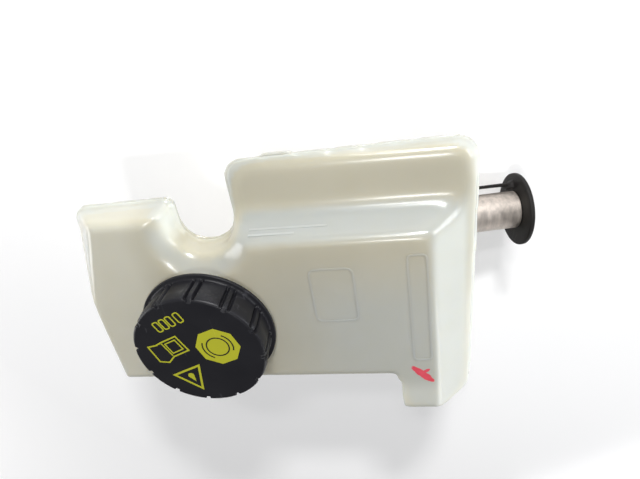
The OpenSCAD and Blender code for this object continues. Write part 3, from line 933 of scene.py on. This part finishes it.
    def _glow_rim(self, points: Array, normals: Array, edges: Array) -> Array:
        """Returns a mask of the edges where the finish paints the glow of light that comes through the plastic from
        the side.

        It is the larger of two: how near a point lies to the outline in plan, and a small share of how far
        it stands out from its relaxed neighbourhood, as the inner convex edges do.
        """
        ball = self._relaxed(points, edges, 40, 0.6)
        bulge = np.clip(np.sum((points - ball) * normals, axis=1) / (0.30 * MM), 0.0, 1.0)[:, None]
        inner = np.clip(1.7 * self._relaxed(bulge, edges, 36, 0.6)[:, 0], 0.0, 1.0)
        outer = np.clip((0.95 - self._cover(points)) / 0.42, 0.0, 1.0)
        return np.maximum(outer, self.inner_edge_glow * inner)

    @staticmethod
    def _cover(points: Array, cell: float = 1.0, reach: int = 6) -> Array:
        """Returns the share of the plan around each point that the skin covers.

        The skin's points mark the cells of a plan grid; running means along both axes, taken twice,
        then spread the marks over about the reach, so that the share falls from 1 to a half at the outline.

        Args:
            points: array of n by 3, in metres.
            cell: width of a cell in mm.
            reach: half width of each running mean, in cells.
        """
        margin = 4 * reach
        index = np.floor((points[:, :2] - points[:, :2].min(axis=0)) / (cell * MM)).astype(int) + margin
        plan = np.zeros(index.max(axis=0) + margin + 1)
        plan[index[:, 0], index[:, 1]] = 1.0
        kernel = np.full(2 * reach + 1, 1.0 / (2 * reach + 1))
        for _ in range(2):
            for axis in (0, 1):
                plan = np.apply_along_axis(np.convolve, axis, plan, kernel, mode="same")
        return plan[index[:, 0], index[:, 1]]

    def _reflection_slope(self, points: Array, normals: Array, edges: Array) -> Array:
        """Returns a mask of the walls and slopes and of the dish's floor, where the finish paints a cool reflection
        tone.

        It is the larger of how far the normal leans from upright and how near the height comes to the dish's
        floor, both relaxed a little.
        """
        steep = np.clip((0.985 - np.abs(normals[:, 2])) / 0.22, 0.0, 1.0)
        drawn = self._drawn(points)
        sunk = np.clip(1.6 - np.abs(drawn[:, 2] + 6.5) / 3.0, 0.0, 1.0) * np.clip((4.0 - drawn[:, 0]) / 8.0, 0, 1)
        return self._relaxed(np.maximum(steep, sunk)[:, None], edges, 10, 0.6)[:, 0]

    def _glow_away(self, points: Array, normals: Array, edges: Array) -> Array:
        """Returns a mask of the slopes and edges that look away from the main lamp, where the finish paints a pale
        glow.

        The painted glow stands for the lamp shining through the hollow tank from its far side, so the plastic
        is paler there: where the normal leans to a side or to the near end, and a little on the shallow left
        block and the foot.
        """
        aside = np.maximum(np.abs(normals[:, 0]), normals[:, 1])
        mask = np.clip((aside - 0.42) / 0.55, 0.0, 1.0) * np.clip(1.0 + 2.0 * normals[:, 1], 0.0, 1.0)
        drawn = self._drawn(points)
        thin = np.maximum(0.22 * np.clip((-14.0 - drawn[:, 0]) / 14.0, 0.0, 1.0),
                          0.30 * np.clip((-38.0 - drawn[:, 1]) / 8.0, 0.0, 1.0))
        mask = np.maximum(mask, thin)
        return self._relaxed(mask[:, None], edges, 14, 0.6)[:, 0]

    @staticmethod
    def store(mesh: bpy.types.Mesh, name: str, values: Array) -> None:
        """Stores one number for each point as a named attribute."""
        attribute = mesh.attributes.new(name, "FLOAT", "POINT")
        attribute.data.foreach_set("value", values.astype(np.float32))


@dataclass
class MouldedMarks:
    """Plain raised marks on the tank: two level bars on the step wall and two bare frames on the top face."""

    datum: Datum
    wall_lean: float = 18.75
    wall_top: float = 43.0

    def build(self, material: bpy.types.Material) -> None:
        """Builds the marks, which carry no letters.

        Args:
            material: finish of the upper tank half.
        """
        bars = [ribbon("level_bar", np.array([[27.0, -z], [27.0 + wide, -z]]), 1.1, 0.60, self._on_wall)
                for wide, z in ((34.0, 8.2), (20.0, 5.0))]
        frames = [self._frame(51.0, 70.0, 0.0, 28.5, 3.0), self._frame(93.0, 101.0, -25.0, 33.5, 2.0)]
        marks = joined("moulded_marks", bars + frames)
        tidy_mesh(marks, 40.0)
        points = np.array([v.co for v in marks.data.vertices])
        drawn = (self.datum.point(0.0, 0.0) - points) / MM * np.array([1.0, 1.0, -1.0])
        # The marks take the tank's painted tones: the reflection tone on the wall, the shade over the deep hollow,
        # and a little painted glow that pales them against the shade at their edges.
        TankSkin.store(marks.data, "slope", (drawn[:, 2] < -1.0).astype(float))
        TankSkin.store(marks.data, "deep", deep_shade_share(drawn))
        TankSkin.store(marks.data, "away", np.where(drawn[:, 2] < -1.0, 0.18, 0.12))
        dress(marks, material)
        hand_over(marks, Body.TANK, Slot.TANK)

    def _frame(self, x0: float, x1: float, y0: float, y1: float, r: float) -> bpy.types.Object:
        """Returns a rounded rectangle's outline as a low raised line on the top face."""
        centres = [(x1 - r, y0 + r), (x1 - r, y1 - r), (x0 + r, y1 - r), (x0 + r, y0 + r)]
        path = np.concatenate([arc(c, r, 90.0 * k - 90.0, 90.0 * k, 9) for k, c in enumerate(centres)])
        return ribbon("bare_frame", path, 0.8, 0.30, self._on_top, closed=True)

    def _on_top(self, local: Array) -> Array:
        """Puts the drawing's plan onto the top face, sunk by 0.16 mm."""
        return self.datum.point(0.0, 0.0, -0.16) + MM * local * np.array([-1.0, -1.0, 1.0])

    def _on_wall(self, local: Array) -> Array:
        """Puts x, distance up the step wall and height over it onto the wall, sunk by 0.35 mm."""
        lean = math.radians(self.wall_lean)
        x, up, out = local[..., 0], local[..., 1], local[..., 2] - 0.35
        y = self.wall_top - up * math.sin(lean) + out * math.cos(lean)
        z = up * math.cos(lean) + out * math.sin(lean)
        return self.datum.point(0.0, 0.0) + MM * np.stack([-x, -y, z], axis=-1)


# The screw cap


@dataclass
class ScrewCap:
    """Black screw cap with grip ribs between grooves, a flange at its foot and a yellow print on top."""

    datum: Datum
    rib_count: int = 12
    rib_phase: float = 23.7
    rib_half: float = 2.0
    groove_half: float = 1.5
    groove_depth: float = 1.5
    bulge: float = 0.45
    top_r: float = 30.0
    foot_r: float = 29.2
    flange_r: float = 31.5
    bore_r: float = 27.4
    height: float = 18.5
    gap: float = 1.9
    flange_t: float = 1.6
    wall: float = 2.2
    rim_round: float = 1.3
    print_height: float = 0.10

    def build(self, plastic: bpy.types.Material, ink: bpy.types.Material) -> None:
        """Builds the shell and its print.

        Args:
            plastic: finish of the shell and of the dark lines in the print.
            ink: finish of the print.
        """
        shell = self._shell()
        dress(shell, plastic)
        hand_over(shell, Body.CAP, Slot.CAP, "cap_shell")
        for piece, finish in self._print(ink, plastic):
            dress(piece, finish)
            hand_over(piece, Body.CAP, Slot.CAP)

    def _profile(self) -> Array:
        """Returns radius and height in mm from the top's middle over the outside to the roof's middle."""
        round_c = (self.top_r - self.rim_round, self.height - self.rim_round)
        fillet = 1.0
        flange_top = self.gap + self.flange_t
        outer = [
            densify(np.array([[0.0, self.height], [round_c[0], self.height]]), 2.5),
            arc(round_c, self.rim_round, 84.0, 4.0, 9),
            densify(np.array([[self.top_r, round_c[1] - 0.2], [self.foot_r, flange_top + fillet]]), 1.4),
            arc((self.foot_r + fillet, flange_top + fillet), fillet, 186.0, 264.0, 5),
            arc((self.flange_r - 0.4, flange_top - 0.4), 0.4, 90.0, 0.0, 4),
            arc((self.flange_r - 0.4, self.gap + 0.4), 0.4, 0.0, -90.0, 4),
        ]
        roof = self.height - self.wall
        inner = densify(np.array([[self.bore_r, self.gap], [self.bore_r, roof], [0.0, roof]]), 3.0)
        return np.concatenate(outer + [inner])

    def _turns(self) -> Array:
        """Returns angles in degrees for one rib's pitch, dense at the rib and its grooves."""
        reach = self.rib_half + 2 * self.groove_half + 0.8
        pitch = 360.0 / self.rib_count
        near = np.linspace(-reach, reach, 47)
        far = np.linspace(reach, pitch - reach, 13)[1:-1]
        return np.concatenate([near, far])

    def _shell(self) -> bpy.types.Object:
        """Builds the shell: the profile is carried round and cut back in the grooves and at the rib ends.

        In a groove the radius drops by a smooth notch, which runs out below the rim. On a rib the rim is cut
        by a cone at 45 degrees, which leaves the small facet at each rib's end.
        """
        profile = self._profile()
        local = self._turns()
        pitch = 360.0 / self.rib_count
        turns = np.concatenate([local + k * pitch for k in range(self.rib_count)])
        off = np.tile(np.abs(local), self.rib_count)
        off = np.minimum(off, pitch - off)
        groove_at = self.rib_half + self.groove_half
        notch = np.clip(1.25 - np.abs(off - groove_at) / self.groove_half, 0.0, 1.0)
        on_rib = np.clip((self.rib_half - off) / 0.35 + 0.5, 0.0, 1.0)
        radius = profile[:, None, 0]
        height = profile[:, None, 1]
        outside = (np.arange(len(profile)) < self._outer_count())[:, None]
        skirt = np.clip((height - self.gap - self.flange_t - 0.15) / 0.5, 0.0, 1.0)
        run_out = np.clip((self.height - 0.25 - height) / 1.3, 0.0, 1.0)
        rim_zone = np.clip((radius - self.top_r + 3.2) / 1.0, 0.0, 1.0)
        panel = np.clip((off - groove_at - self.groove_half) / 3.0, 0.0, 1.0)
        belly = np.exp(-((height - self.height + 4.6) / 2.6) ** 2) * run_out
        cut = (self.groove_depth * notch[None] * run_out - self.bulge * panel * belly) * skirt * rim_zone
        facet = self.top_r - 2.1 + (self.height - height)
        capped = np.minimum(radius, np.where(rim_zone > 0, facet, radius))
        rib_r = np.minimum(capped + 0.25 * skirt * rim_zone * np.clip((self.height - 2.4 - height), 0, 1), facet)
        shaped = radius + on_rib[None] * (np.where(rim_zone > 0, rib_r, radius) - radius) - cut
        radius = np.where(outside, shaped, np.broadcast_to(radius, shaped.shape))
        grid = np.stack([radius, np.broadcast_to(height, radius.shape)], axis=-1)
        centre = np.array([*self.datum.axis, self.datum.top_face])
        angles = np.radians(turns + self.rib_phase)
        return revolve("cap_shell_ribbed", grid, angles, centre, np.eye(3), sharp_deg=38.0)

    def _outer_count(self) -> int:
        """Returns how many profile points lie outside, before the bore."""
        return int(np.argmax(np.isclose(self._profile()[:, 0], self.bore_r)
                             & np.isclose(self._profile()[:, 1], self.gap)))

    def _on_top(self, lift: float):
        """Returns a function that puts the drawing's plan, in mm, onto the cap's top.

        Args:
            lift: height in mm over the top face of the cap.
        """
        middle = np.array([*self.datum.axis, self.datum.cap_top + lift * MM])

        def place(local: Array) -> Array:
            """Turns the plan's x and y half round to the frame and lifts z to the cap's top."""
            return middle + MM * local * np.array([-1.0, -1.0, 1.0])

        return place

    def _print(self, ink: bpy.types.Material, plastic: bpy.types.Material) -> list:
        """Builds the yellow signs, without letters.

        Args:
            ink: finish of the fields and lines.
            plastic: finish of the dark lines on the octagon.

        Returns:
            Pairs of piece and finish.
        """
        place = self._on_top(-0.02)
        over = self._on_top(self.print_height - 0.03)
        tall = self.print_height
        middle = (9.70, 3.45)
        corners = arc(middle, 10.3, -1.0, 314.0, 8)
        field_edge = densify(np.concatenate([corners, corners[:1]]), 1.5)[:-1]
        octagon = plate("print_octagon", field_edge, tall, place)
        dark = [ribbon("ring_line", arc(middle, 5.1, 0.0, 352.5, 48), 0.62, 0.05, over, closed=True)]
        for start, end in ((-18.0, 65.0), (160.0, 246.0)):
            dark.append(ribbon("arc_line", arc(middle, 7.0, start, end, 24), 0.62, 0.05, over))
        lines = self._triangle(tall, place) + self._book(tall, place) + self._bars(tall, place)
        return [(octagon, ink), (joined("print_brake_lines", dark), plastic), (joined("print_lines", lines), ink)]

    @staticmethod
    def _triangle(tall: float, place) -> list:
        """Returns a triangle outline with a drop of fluid in it, whose tip points away from the base."""
        corners = np.array([[-1.9, -7.1], [-3.9, -22.8], [-16.0, -13.3]])
        middle = corners.mean(axis=0)
        edge = middle + 0.93 * (corners - middle)
        base = 0.5 * (corners[0] + corners[2])
        up = (corners[1] - base) / np.linalg.norm(corners[1] - base)
        side = np.array([-up[1], up[0]])
        t = np.radians(np.linspace(-30.0, 210.0, 21))
        bulb = np.stack([1.5 * np.cos(t), -1.5 * np.sin(t)], axis=-1)
        shape = np.concatenate([bulb, [[0.0, 4.0]]])
        drop = middle + np.array([0.0, 0.0]) - 0.6 * up + shape[:, :1] * side + shape[:, 1:] * up
        return [ribbon("triangle_line", edge, 1.05, tall, place, closed=True),
                plate("drop_field", drop, tall, place)]

    @staticmethod
    def _book(tall: float, place) -> list:
        """Returns an open book: a bent outline and a ruled frame for the page that lies flat."""
        outline = np.array([[-22.9, 4.1], [-19.8, -4.8], [-15.4, -5.3], [-12.2, -1.8], [-4.3, 1.8],
                            [-8.3, 10.1], [-16.1, 6.6], [-18.8, 5.0]])
        page = np.array([[-12.0, 0.2], [-6.7, 2.7], [-9.2, 8.0], [-14.4, 5.6]])
        spine = np.array([[-12.6, -1.2], [-16.0, 6.0]])
        return [ribbon("book_outline", outline, 0.72, tall, place, closed=True),
                ribbon("book_page", page, 0.6, tall, place, closed=True),
                ribbon("book_spine", spine, 0.6, tall, place)]

    @staticmethod
    def _bars(tall: float, place) -> list:
        """Returns four plain rounded frames where the cap has its lettering."""
        corner = np.array([-17.0, 17.4])
        ahead = np.array([13.7, 6.3]) / np.hypot(13.7, 6.3)
        down = np.array([ahead[1], -ahead[0]])
        lines = []
        for start in (0.2, 3.8, 7.4, 12.0):
            wide, high, r = 2.6, 5.4, 0.9
            centres = [(start + wide - r, r), (start + wide - r, high - r), (start + r, high - r), (start + r, r)]
            bent = np.concatenate([arc(c, r, 90.0 * k - 90.0, 90.0 * k, 5) for k, c in enumerate(centres)])
            path = corner + bent[:, :1] * ahead + bent[:, 1:] * down
            lines.append(ribbon("bar_frame", path, 0.62, tall, place, closed=True))
        return lines


# The retaining pin


@dataclass
class RetainingPin:
    """Plastic pin with a round head and a snap finger, and the steel sleeve on it."""

    sleeve_r: float = 9.25
    sleeve_bore: float = 7.25
    sleeve_l: float = 71.95
    core_r: float = 7.2
    barb_r: float = 8.7
    head_r: float = 18.0
    head_t: float = 2.4
    rim_round: float = 0.7
    finger_r: float = 12.7
    finger_t: float = 1.6
    finger_w: float = 6.6
    finger_turn: float = -33.0
    finger_l: float = 26.3
    axes: Array = field(init=False)
    middle: Array = field(init=False)

    def __post_init__(self) -> None:
        """Works out the sleeve's middle and the pin's axes from the frame."""
        joint = next(j for j in frame["joints"] if j["name"] == "pin_pull")
        along = np.array(joint["axis"], float)
        along /= np.linalg.norm(along)
        front = np.cross([0.0, 0.0, 1.0], along)
        front /= np.linalg.norm(front)
        self.axes = np.stack([front, np.cross(along, front), along])
        low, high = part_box("pin_sleeve")
        self.middle = 0.5 * (np.array(low) + np.array(high))

    def build(self, plastic: bpy.types.Material, steel: bpy.types.Material) -> None:
        """Builds sleeve, core, head and finger.

        Args:
            plastic: finish of the pin.
            steel: finish of the sleeve.
        """
        turns = np.linspace(0.0, 2 * math.pi, 144, endpoint=False)
        sleeve = revolve("sleeve_tube", self._sleeve_profile(), turns, self.middle, self.axes)
        dress(sleeve, steel)
        hand_over(sleeve, Body.PIN, Slot.SLEEVE, "pin_sleeve")
        shaft = revolve("pin_shaft", self._shaft_profile(), turns, self.middle, self.axes)
        pin = joined("pin_with_head", [shaft, self._finger(), self._finger_root()])
        tidy_mesh(pin, 35.0)
        dress(pin, plastic)
        hand_over(pin, Body.PIN, Slot.PIN, "retaining_pin")

    def _sleeve_profile(self) -> Array:
        """Returns the tube's closed section with small chamfers, as radius and distance from its middle."""
        half, edge = 0.5 * self.sleeve_l, 0.35
        outer = densify(np.array([[self.sleeve_r, -half + edge], [self.sleeve_r, half - edge]]), 6.0)
        inner = densify(np.array([[self.sleeve_bore, half - edge], [self.sleeve_bore, -half + edge]]), 12.0)
        ends = [np.array([[self.sleeve_r - edge, half], [self.sleeve_bore + edge, half]]),
                np.array([[self.sleeve_bore + edge, -half], [self.sleeve_r - edge, -half],
                          [self.sleeve_r, -half + edge]])]
        return np.concatenate([outer, ends[0], inner, ends[1]])

    def _shaft_profile(self) -> Array:
        """Returns the section of barb, core and head, from the barb's middle to the head's middle."""
        half = 0.5 * self.sleeve_l
        start = -half - 2.05
        back = half + 0.05
        out = back + self.head_t
        r, c = self.head_r, self.rim_round
        barb = np.array([[0.0, start], [self.core_r - 0.4, start], [self.core_r, start + 0.3],
                         [self.barb_r, start + 1.9], [self.barb_r - 0.1, start + 2.0], [self.core_r, start + 2.0]])
        core = densify(np.array([[self.core_r, start + 2.0], [self.core_r, back]]), 8.0)
        boss = np.array([[self.sleeve_r + 1.3, back], [self.sleeve_r + 1.5, back - 0.0]])
        inner = densify(np.array([[self.sleeve_r + 1.5, back], [r - c, back]]), 2.5)
        rim = np.concatenate([arc((r - c, back + c), c, -90.0, 0.0, 5), arc((r - c, out - c), c, 0.0, 90.0, 5)])
        face = densify(np.array([[r - 1.6, out], [r - 2.2, out - 0.35], [4.0, out - 0.35], [0.0, out - 0.35]]), 2.5)
        return np.concatenate([barb, core, boss, inner, rim, face])

    def _finger_frame(self) -> tuple:
        """Returns the finger's outward and sideways unit vectors."""
        turn = math.radians(self.finger_turn)
        out = math.cos(turn) * self.axes[0] + math.sin(turn) * self.axes[1]
        side = -math.sin(turn) * self.axes[0] + math.cos(turn) * self.axes[1]
        return out, side

    def _bar(self, name: str, stations: Array) -> bpy.types.Object:
        """Carries a rounded rectangle along the pin.

        Args:
            name: the piece's name.
            stations: rows of distance from the sleeve's middle, inner radius, outer radius and width, in mm.

        Returns:
            The closed bar.
        """
        out, side = self._finger_frame()
        t = np.linspace(0.0, 2 * math.pi, 32, endpoint=False)
        power = 0.38
        cx = np.sign(np.cos(t)) * np.abs(np.cos(t)) ** power
        cy = np.sign(np.sin(t)) * np.abs(np.sin(t)) ** power
        along, low, high, wide = stations.T
        radial = 0.5 * (low + high)[:, None] + 0.5 * (high - low)[:, None] * cx[None]
        across = 0.5 * wide[:, None] * cy[None]
        grid = self.middle + MM * (radial[..., None] * out + across[..., None] * side
                                   + along[:, None, None] * self.axes[2])
        ends = np.repeat(grid[[0, -1]].mean(axis=1, keepdims=True), len(t), axis=1)
        return grid_object(name, np.concatenate([ends[:1], grid, ends[1:]]), wrap_columns=True)

    def _finger(self) -> bpy.types.Object:
        """Builds the snap finger, which thins slightly to its hooked tip."""
        head = 0.5 * self.sleeve_l + 0.1
        share = np.linspace(0.0, 1.0, 24)
        along = head - self.finger_l * (1.0 - share)
        hook = 0.5 * np.exp(-((share - 0.03) / 0.05) ** 2)
        thick = self.finger_t * (0.86 + 0.14 * share)
        low = self.finger_r - 0.5 * thick - hook
        high = self.finger_r + 0.5 * thick
        wide = self.finger_w * (0.82 + 0.18 * share)
        return self._bar("snap_finger", np.stack([along, low, high, wide], axis=-1))

    def _finger_root(self) -> bpy.types.Object:
        """Builds the block that ties the finger to the head, which swells towards the head."""
        head = 0.5 * self.sleeve_l + 0.1
        share = np.linspace(0.0, 1.0, 10)
        along = head - 3.2 * (1.0 - share)
        low = self.sleeve_r + 0.9 - 0.0 * share
        high = self.finger_r + 0.5 * self.finger_t + 1.2 * share ** 3
        wide = self.finger_w * (0.95 + 0.25 * share ** 3)
        return self._bar("finger_root", np.stack([along, low, high, wide], axis=-1))


# Inner pieces


@dataclass
class InnerPieces:
    """Finishes of the pieces inside the tank, the cap and the sensor, which keep their CAD shape."""

    effects: Effects

    def build(self) -> None:
        """Dresses each CAD node that stays in view of a lifted cap or an open tank."""
        finishes = {
            "cap_diaphragm": PlainFinish((0.028, 0.028, 0.030), (0.045, 0.045, 0.047), 0.62),
            "diaphragm_ring": PlainFinish((0.06, 0.06, 0.066), (0.09, 0.09, 0.095), 0.45),
            "strainer_frame": PlainFinish((0.80, 0.80, 0.76), (0.70, 0.70, 0.64), 0.38),
            "strainer_mesh": Gauze(),
            "float_body": PlainFinish((0.62, 0.52, 0.36), (0.50, 0.41, 0.27), 0.75, grain_scale=1500.0,
                                      grain_height=0.00012),
            "float_magnet": PlainFinish((0.07, 0.07, 0.075), (0.11, 0.105, 0.10), 0.5, metallic=0.4),
            "sensor_housing": GrainedPlastic((0.030, 0.030, 0.033), (0.045, 0.045, 0.048), (0.14, 0.14, 0.14)),
            "sensor_reed": PlainFinish((0.72, 0.88, 0.80), (0.66, 0.84, 0.76), 0.05, transmission=0.9),
            "terminal_front": PlainFinish((0.72, 0.62, 0.40), (0.60, 0.50, 0.32), 0.28, metallic=1.0),
            "terminal_rear": PlainFinish((0.72, 0.62, 0.40), (0.60, 0.50, 0.32), 0.28, metallic=1.0),
            "sensor_seal": PlainFinish((0.022, 0.022, 0.022), (0.035, 0.034, 0.033), 0.55),
        }
        for node, finish in finishes.items():
            dress(frame["nodes"][node], finish.build(node + "_finish", self.effects))
            LOG.info("%s: CAD shape kept, new finish", node)


# Floor, light and camera


@dataclass
class Studio:
    """Pale floor, soft lamps and the photograph's camera."""

    eye: tuple = (0.0055, -0.1118, 0.2285)
    right: tuple = (-0.982, 0.145, -0.119)
    up: tuple = (-0.059, -0.840, -0.540)
    lens: float = 30.375
    sensor: float = 36.0
    floor_half: float = 3.0

    def build(self) -> None:
        """Builds camera, floor, world and lamps."""
        scene = bpy.context.scene
        scene.view_settings.view_transform = "Standard"
        self._camera(scene)
        self._floor()
        self._world(scene)
        target = Vector((0.03, 0.02, 0.03))
        self._lamp("key", (-0.12, -0.69, 0.40), target, 0.13, 0.06, 6.0)
        for side in (-1, 1):
            self._lamp("ceiling_near", (0.037 * side, -0.05, 0.85), target, 0.055, 0.05, 0.80)
            self._lamp("ceiling_far", (0.037 * side, -0.61, 0.58), target, 0.055, 0.05, 0.60)
        self._lamp("window", (-0.80, -0.10, 0.20), target, 0.50, 0.30, 3.3, (0.94, 0.97, 1.0))
        self._lamp("left", (0.80, 0.05, 0.22), target, 0.50, 0.30, 2.4)
        self._lamp("near_right", (-0.35, 0.62, 0.14), target, 0.50, 0.25, 0.9)

    def _camera(self, scene: bpy.types.Scene) -> None:
        """Sets up the photograph's view from its right and up directions."""
        data = bpy.data.cameras.new("camera")
        data.lens = self.lens
        data.sensor_width = self.sensor
        data.clip_start = 0.01
        right = Vector(self.right).normalized()
        up = Vector(self.up)
        up = (up - up.dot(right) * right).normalized()
        back = right.cross(up)
        camera = bpy.data.objects.new("camera", data)
        rotation = Matrix((right, up, back)).transposed()
        camera.matrix_world = Matrix.Translation(self.eye) @ rotation.to_4x4()
        scene.collection.objects.link(camera)
        scene.camera = camera

    def _floor(self) -> None:
        """Builds the floor, a very shallow bowl under the part's lowest point."""
        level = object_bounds()[0][2] - 0.0005
        share = np.linspace(-1.0, 1.0, 41)
        x, y = np.meshgrid(share * self.floor_half, share * self.floor_half, indexing="ij")
        z = level + 0.02 * np.maximum(0.0, np.hypot(x, y) - 1.5) ** 2
        obj = grid_object("floor", np.stack([x, y, z], axis=-1))
        if obj.data.polygons[0].normal.z < 0:
            obj.data.flip_normals()
        material, g, shader, at = start_material("floor_white")
        cloud = g.add("TexNoise", {"Vector": at, "Scale": 3.0, "Detail": 2.0})
        colour = g.mix(cloud.outputs["Fac"], (0.88, 0.88, 0.885), (0.93, 0.925, 0.92))
        g.tree.links.new(colour, shader.inputs["Base Color"])
        shader.inputs["Roughness"].default_value = 0.12
        shader.inputs["Emission Color"].default_value = (1.0, 1.0, 1.0, 1.0)
        path = g.add("LightPath")
        seen = g.math("MAXIMUM", path.outputs["Is Camera Ray"],
                      g.math("MAXIMUM", path.outputs["Is Glossy Ray"], path.outputs["Is Transmission Ray"]))
        far = g.add("VectorMath", {0: at}, operation="LENGTH").outputs["Value"]
        haze = g.add("MapRange", {0: far, 1: 0.35, 2: 1.3, 3: 0.0, 4: 0.85}).outputs[0]
        glow = g.math("ADD", g.math("MULTIPLY", seen, 0.10),
                      g.math("MULTIPLY", haze, path.outputs["Is Camera Ray"]))
        g.tree.links.new(glow, shader.inputs["Emission Strength"])
        dress(obj, material)
        obj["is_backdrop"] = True

    @staticmethod
    def _world(scene: bpy.types.Scene) -> None:
        """Sets a plain soft sky: warm grey for light and gloss, white for the camera."""
        world = bpy.data.worlds.new("sky")
        world.use_nodes = True
        g = Graph(world.node_tree)
        background = world.node_tree.nodes["Background"]
        path = g.add("LightPath")
        colour = g.mix(path.outputs["Is Camera Ray"], (0.17, 0.17, 0.174), (1.0, 1.0, 1.0))
        g.tree.links.new(colour, background.inputs["Color"])
        scene.world = world

    @staticmethod
    def _lamp(name: str, place: tuple, target: Vector, wide: float, high: float, watts: float,
              tint: Colour = (1.0, 1.0, 1.0)) -> None:
        """Adds a rectangular soft lamp that faces the target.

        Args:
            name: the lamp's name.
            place: where it hangs, in metres.
            target: what it faces.
            wide: its width in metres.
            high: its height in metres.
            watts: its power.
            tint: its colour.
        """
        data = bpy.data.lights.new(name, "AREA")
        data.color = tint
        data.shape = "RECTANGLE"
        data.size, data.size_y, data.energy = wide, high, watts
        lamp = bpy.data.objects.new(name, data)
        lamp.location = place
        lamp.rotation_euler = (target - Vector(place)).to_track_quat("-Z", "Y").to_euler()
        bpy.context.scene.collection.objects.link(lamp)


def main() -> None:
    """Builds the studio and each sub-assembly in order."""
    logging.basicConfig(level=logging.INFO, format="%(name)s: %(message)s")
    datum = Datum.from_frame()
    effects = Effects()
    Studio().build()
    # Each finish: face colour, then the painted tones: shade over the deep hollow, reflection on the walls, and
    # glow in the creamy and pale rim bands.
    upper = MilkyPlastic((0.435, 0.41, 0.325), (0.45, 0.455, 0.415), (0.385, 0.40, 0.38), (0.50, 0.475, 0.375),
                         (0.49, 0.50, 0.46), dab=True)
    lower = MilkyPlastic((0.44, 0.415, 0.34), (0.445, 0.45, 0.41), (0.43, 0.44, 0.40), (0.47, 0.45, 0.36),
                         (0.47, 0.475, 0.44))
    zones = (SoftZone((14.0, 41.0, -19.0), (122.0, 66.0, -3.5), 5.0, 110),
             SoftZone((4.0, 28.0, -14.0), (42.0, 58.0, 3.0), 7.0, 70),
             SoftZone((96.0, 34.0, -15.0), (124.0, 62.0, 3.0), 6.0, 40),
             SoftZone((-28.0, 30.0, -12.0), (2.0, 60.0, 3.0), 6.0, 60),
             SoftZone((4.0, 57.0, -22.5), (126.0, 74.0, -11.0), 4.0, 60))
    milky = upper.build("milky_upper", effects, datum)
    TankSkin("upper_shell", Slot.TANK, 0.80, 9, datum, zones).build(milky)
    MouldedMarks(datum).build(milky)
    TankSkin("lower_shell", Slot.TRAY, 0.95, 5, datum).build(lower.build("milky_lower", effects, datum))
    cap_finish = GrainedPlastic((0.009, 0.009, 0.0115), (0.014, 0.014, 0.017), (0.07, 0.07, 0.08),
                                roughness=0.43, gloss=0.26)
    ink = GrainedPlastic((0.42, 0.42, 0.020), (0.38, 0.38, 0.018), (0.55, 0.55, 0.12), roughness=0.38,
                         grain_height=0.00002, scuff_cover=0.3)
    ScrewCap(datum).build(cap_finish.build("cap_black", effects), ink.build("print_yellow", effects))
    pin = RetainingPin()
    pin_finish = GrainedPlastic((0.012, 0.011, 0.011), (0.020, 0.018, 0.017), (0.06, 0.055, 0.05),
                               roughness=0.50, gloss=0.16)
    steel = BrushedSteel((0.66, 0.60, 0.545), (0.57, 0.51, 0.46), tuple(map(tuple, pin.axes)))
    pin.build(pin_finish.build("pin_black", effects), steel.build("sleeve_steel_finish", effects))
    InnerPieces(effects).build()


if __name__ == "__main__":
    main()
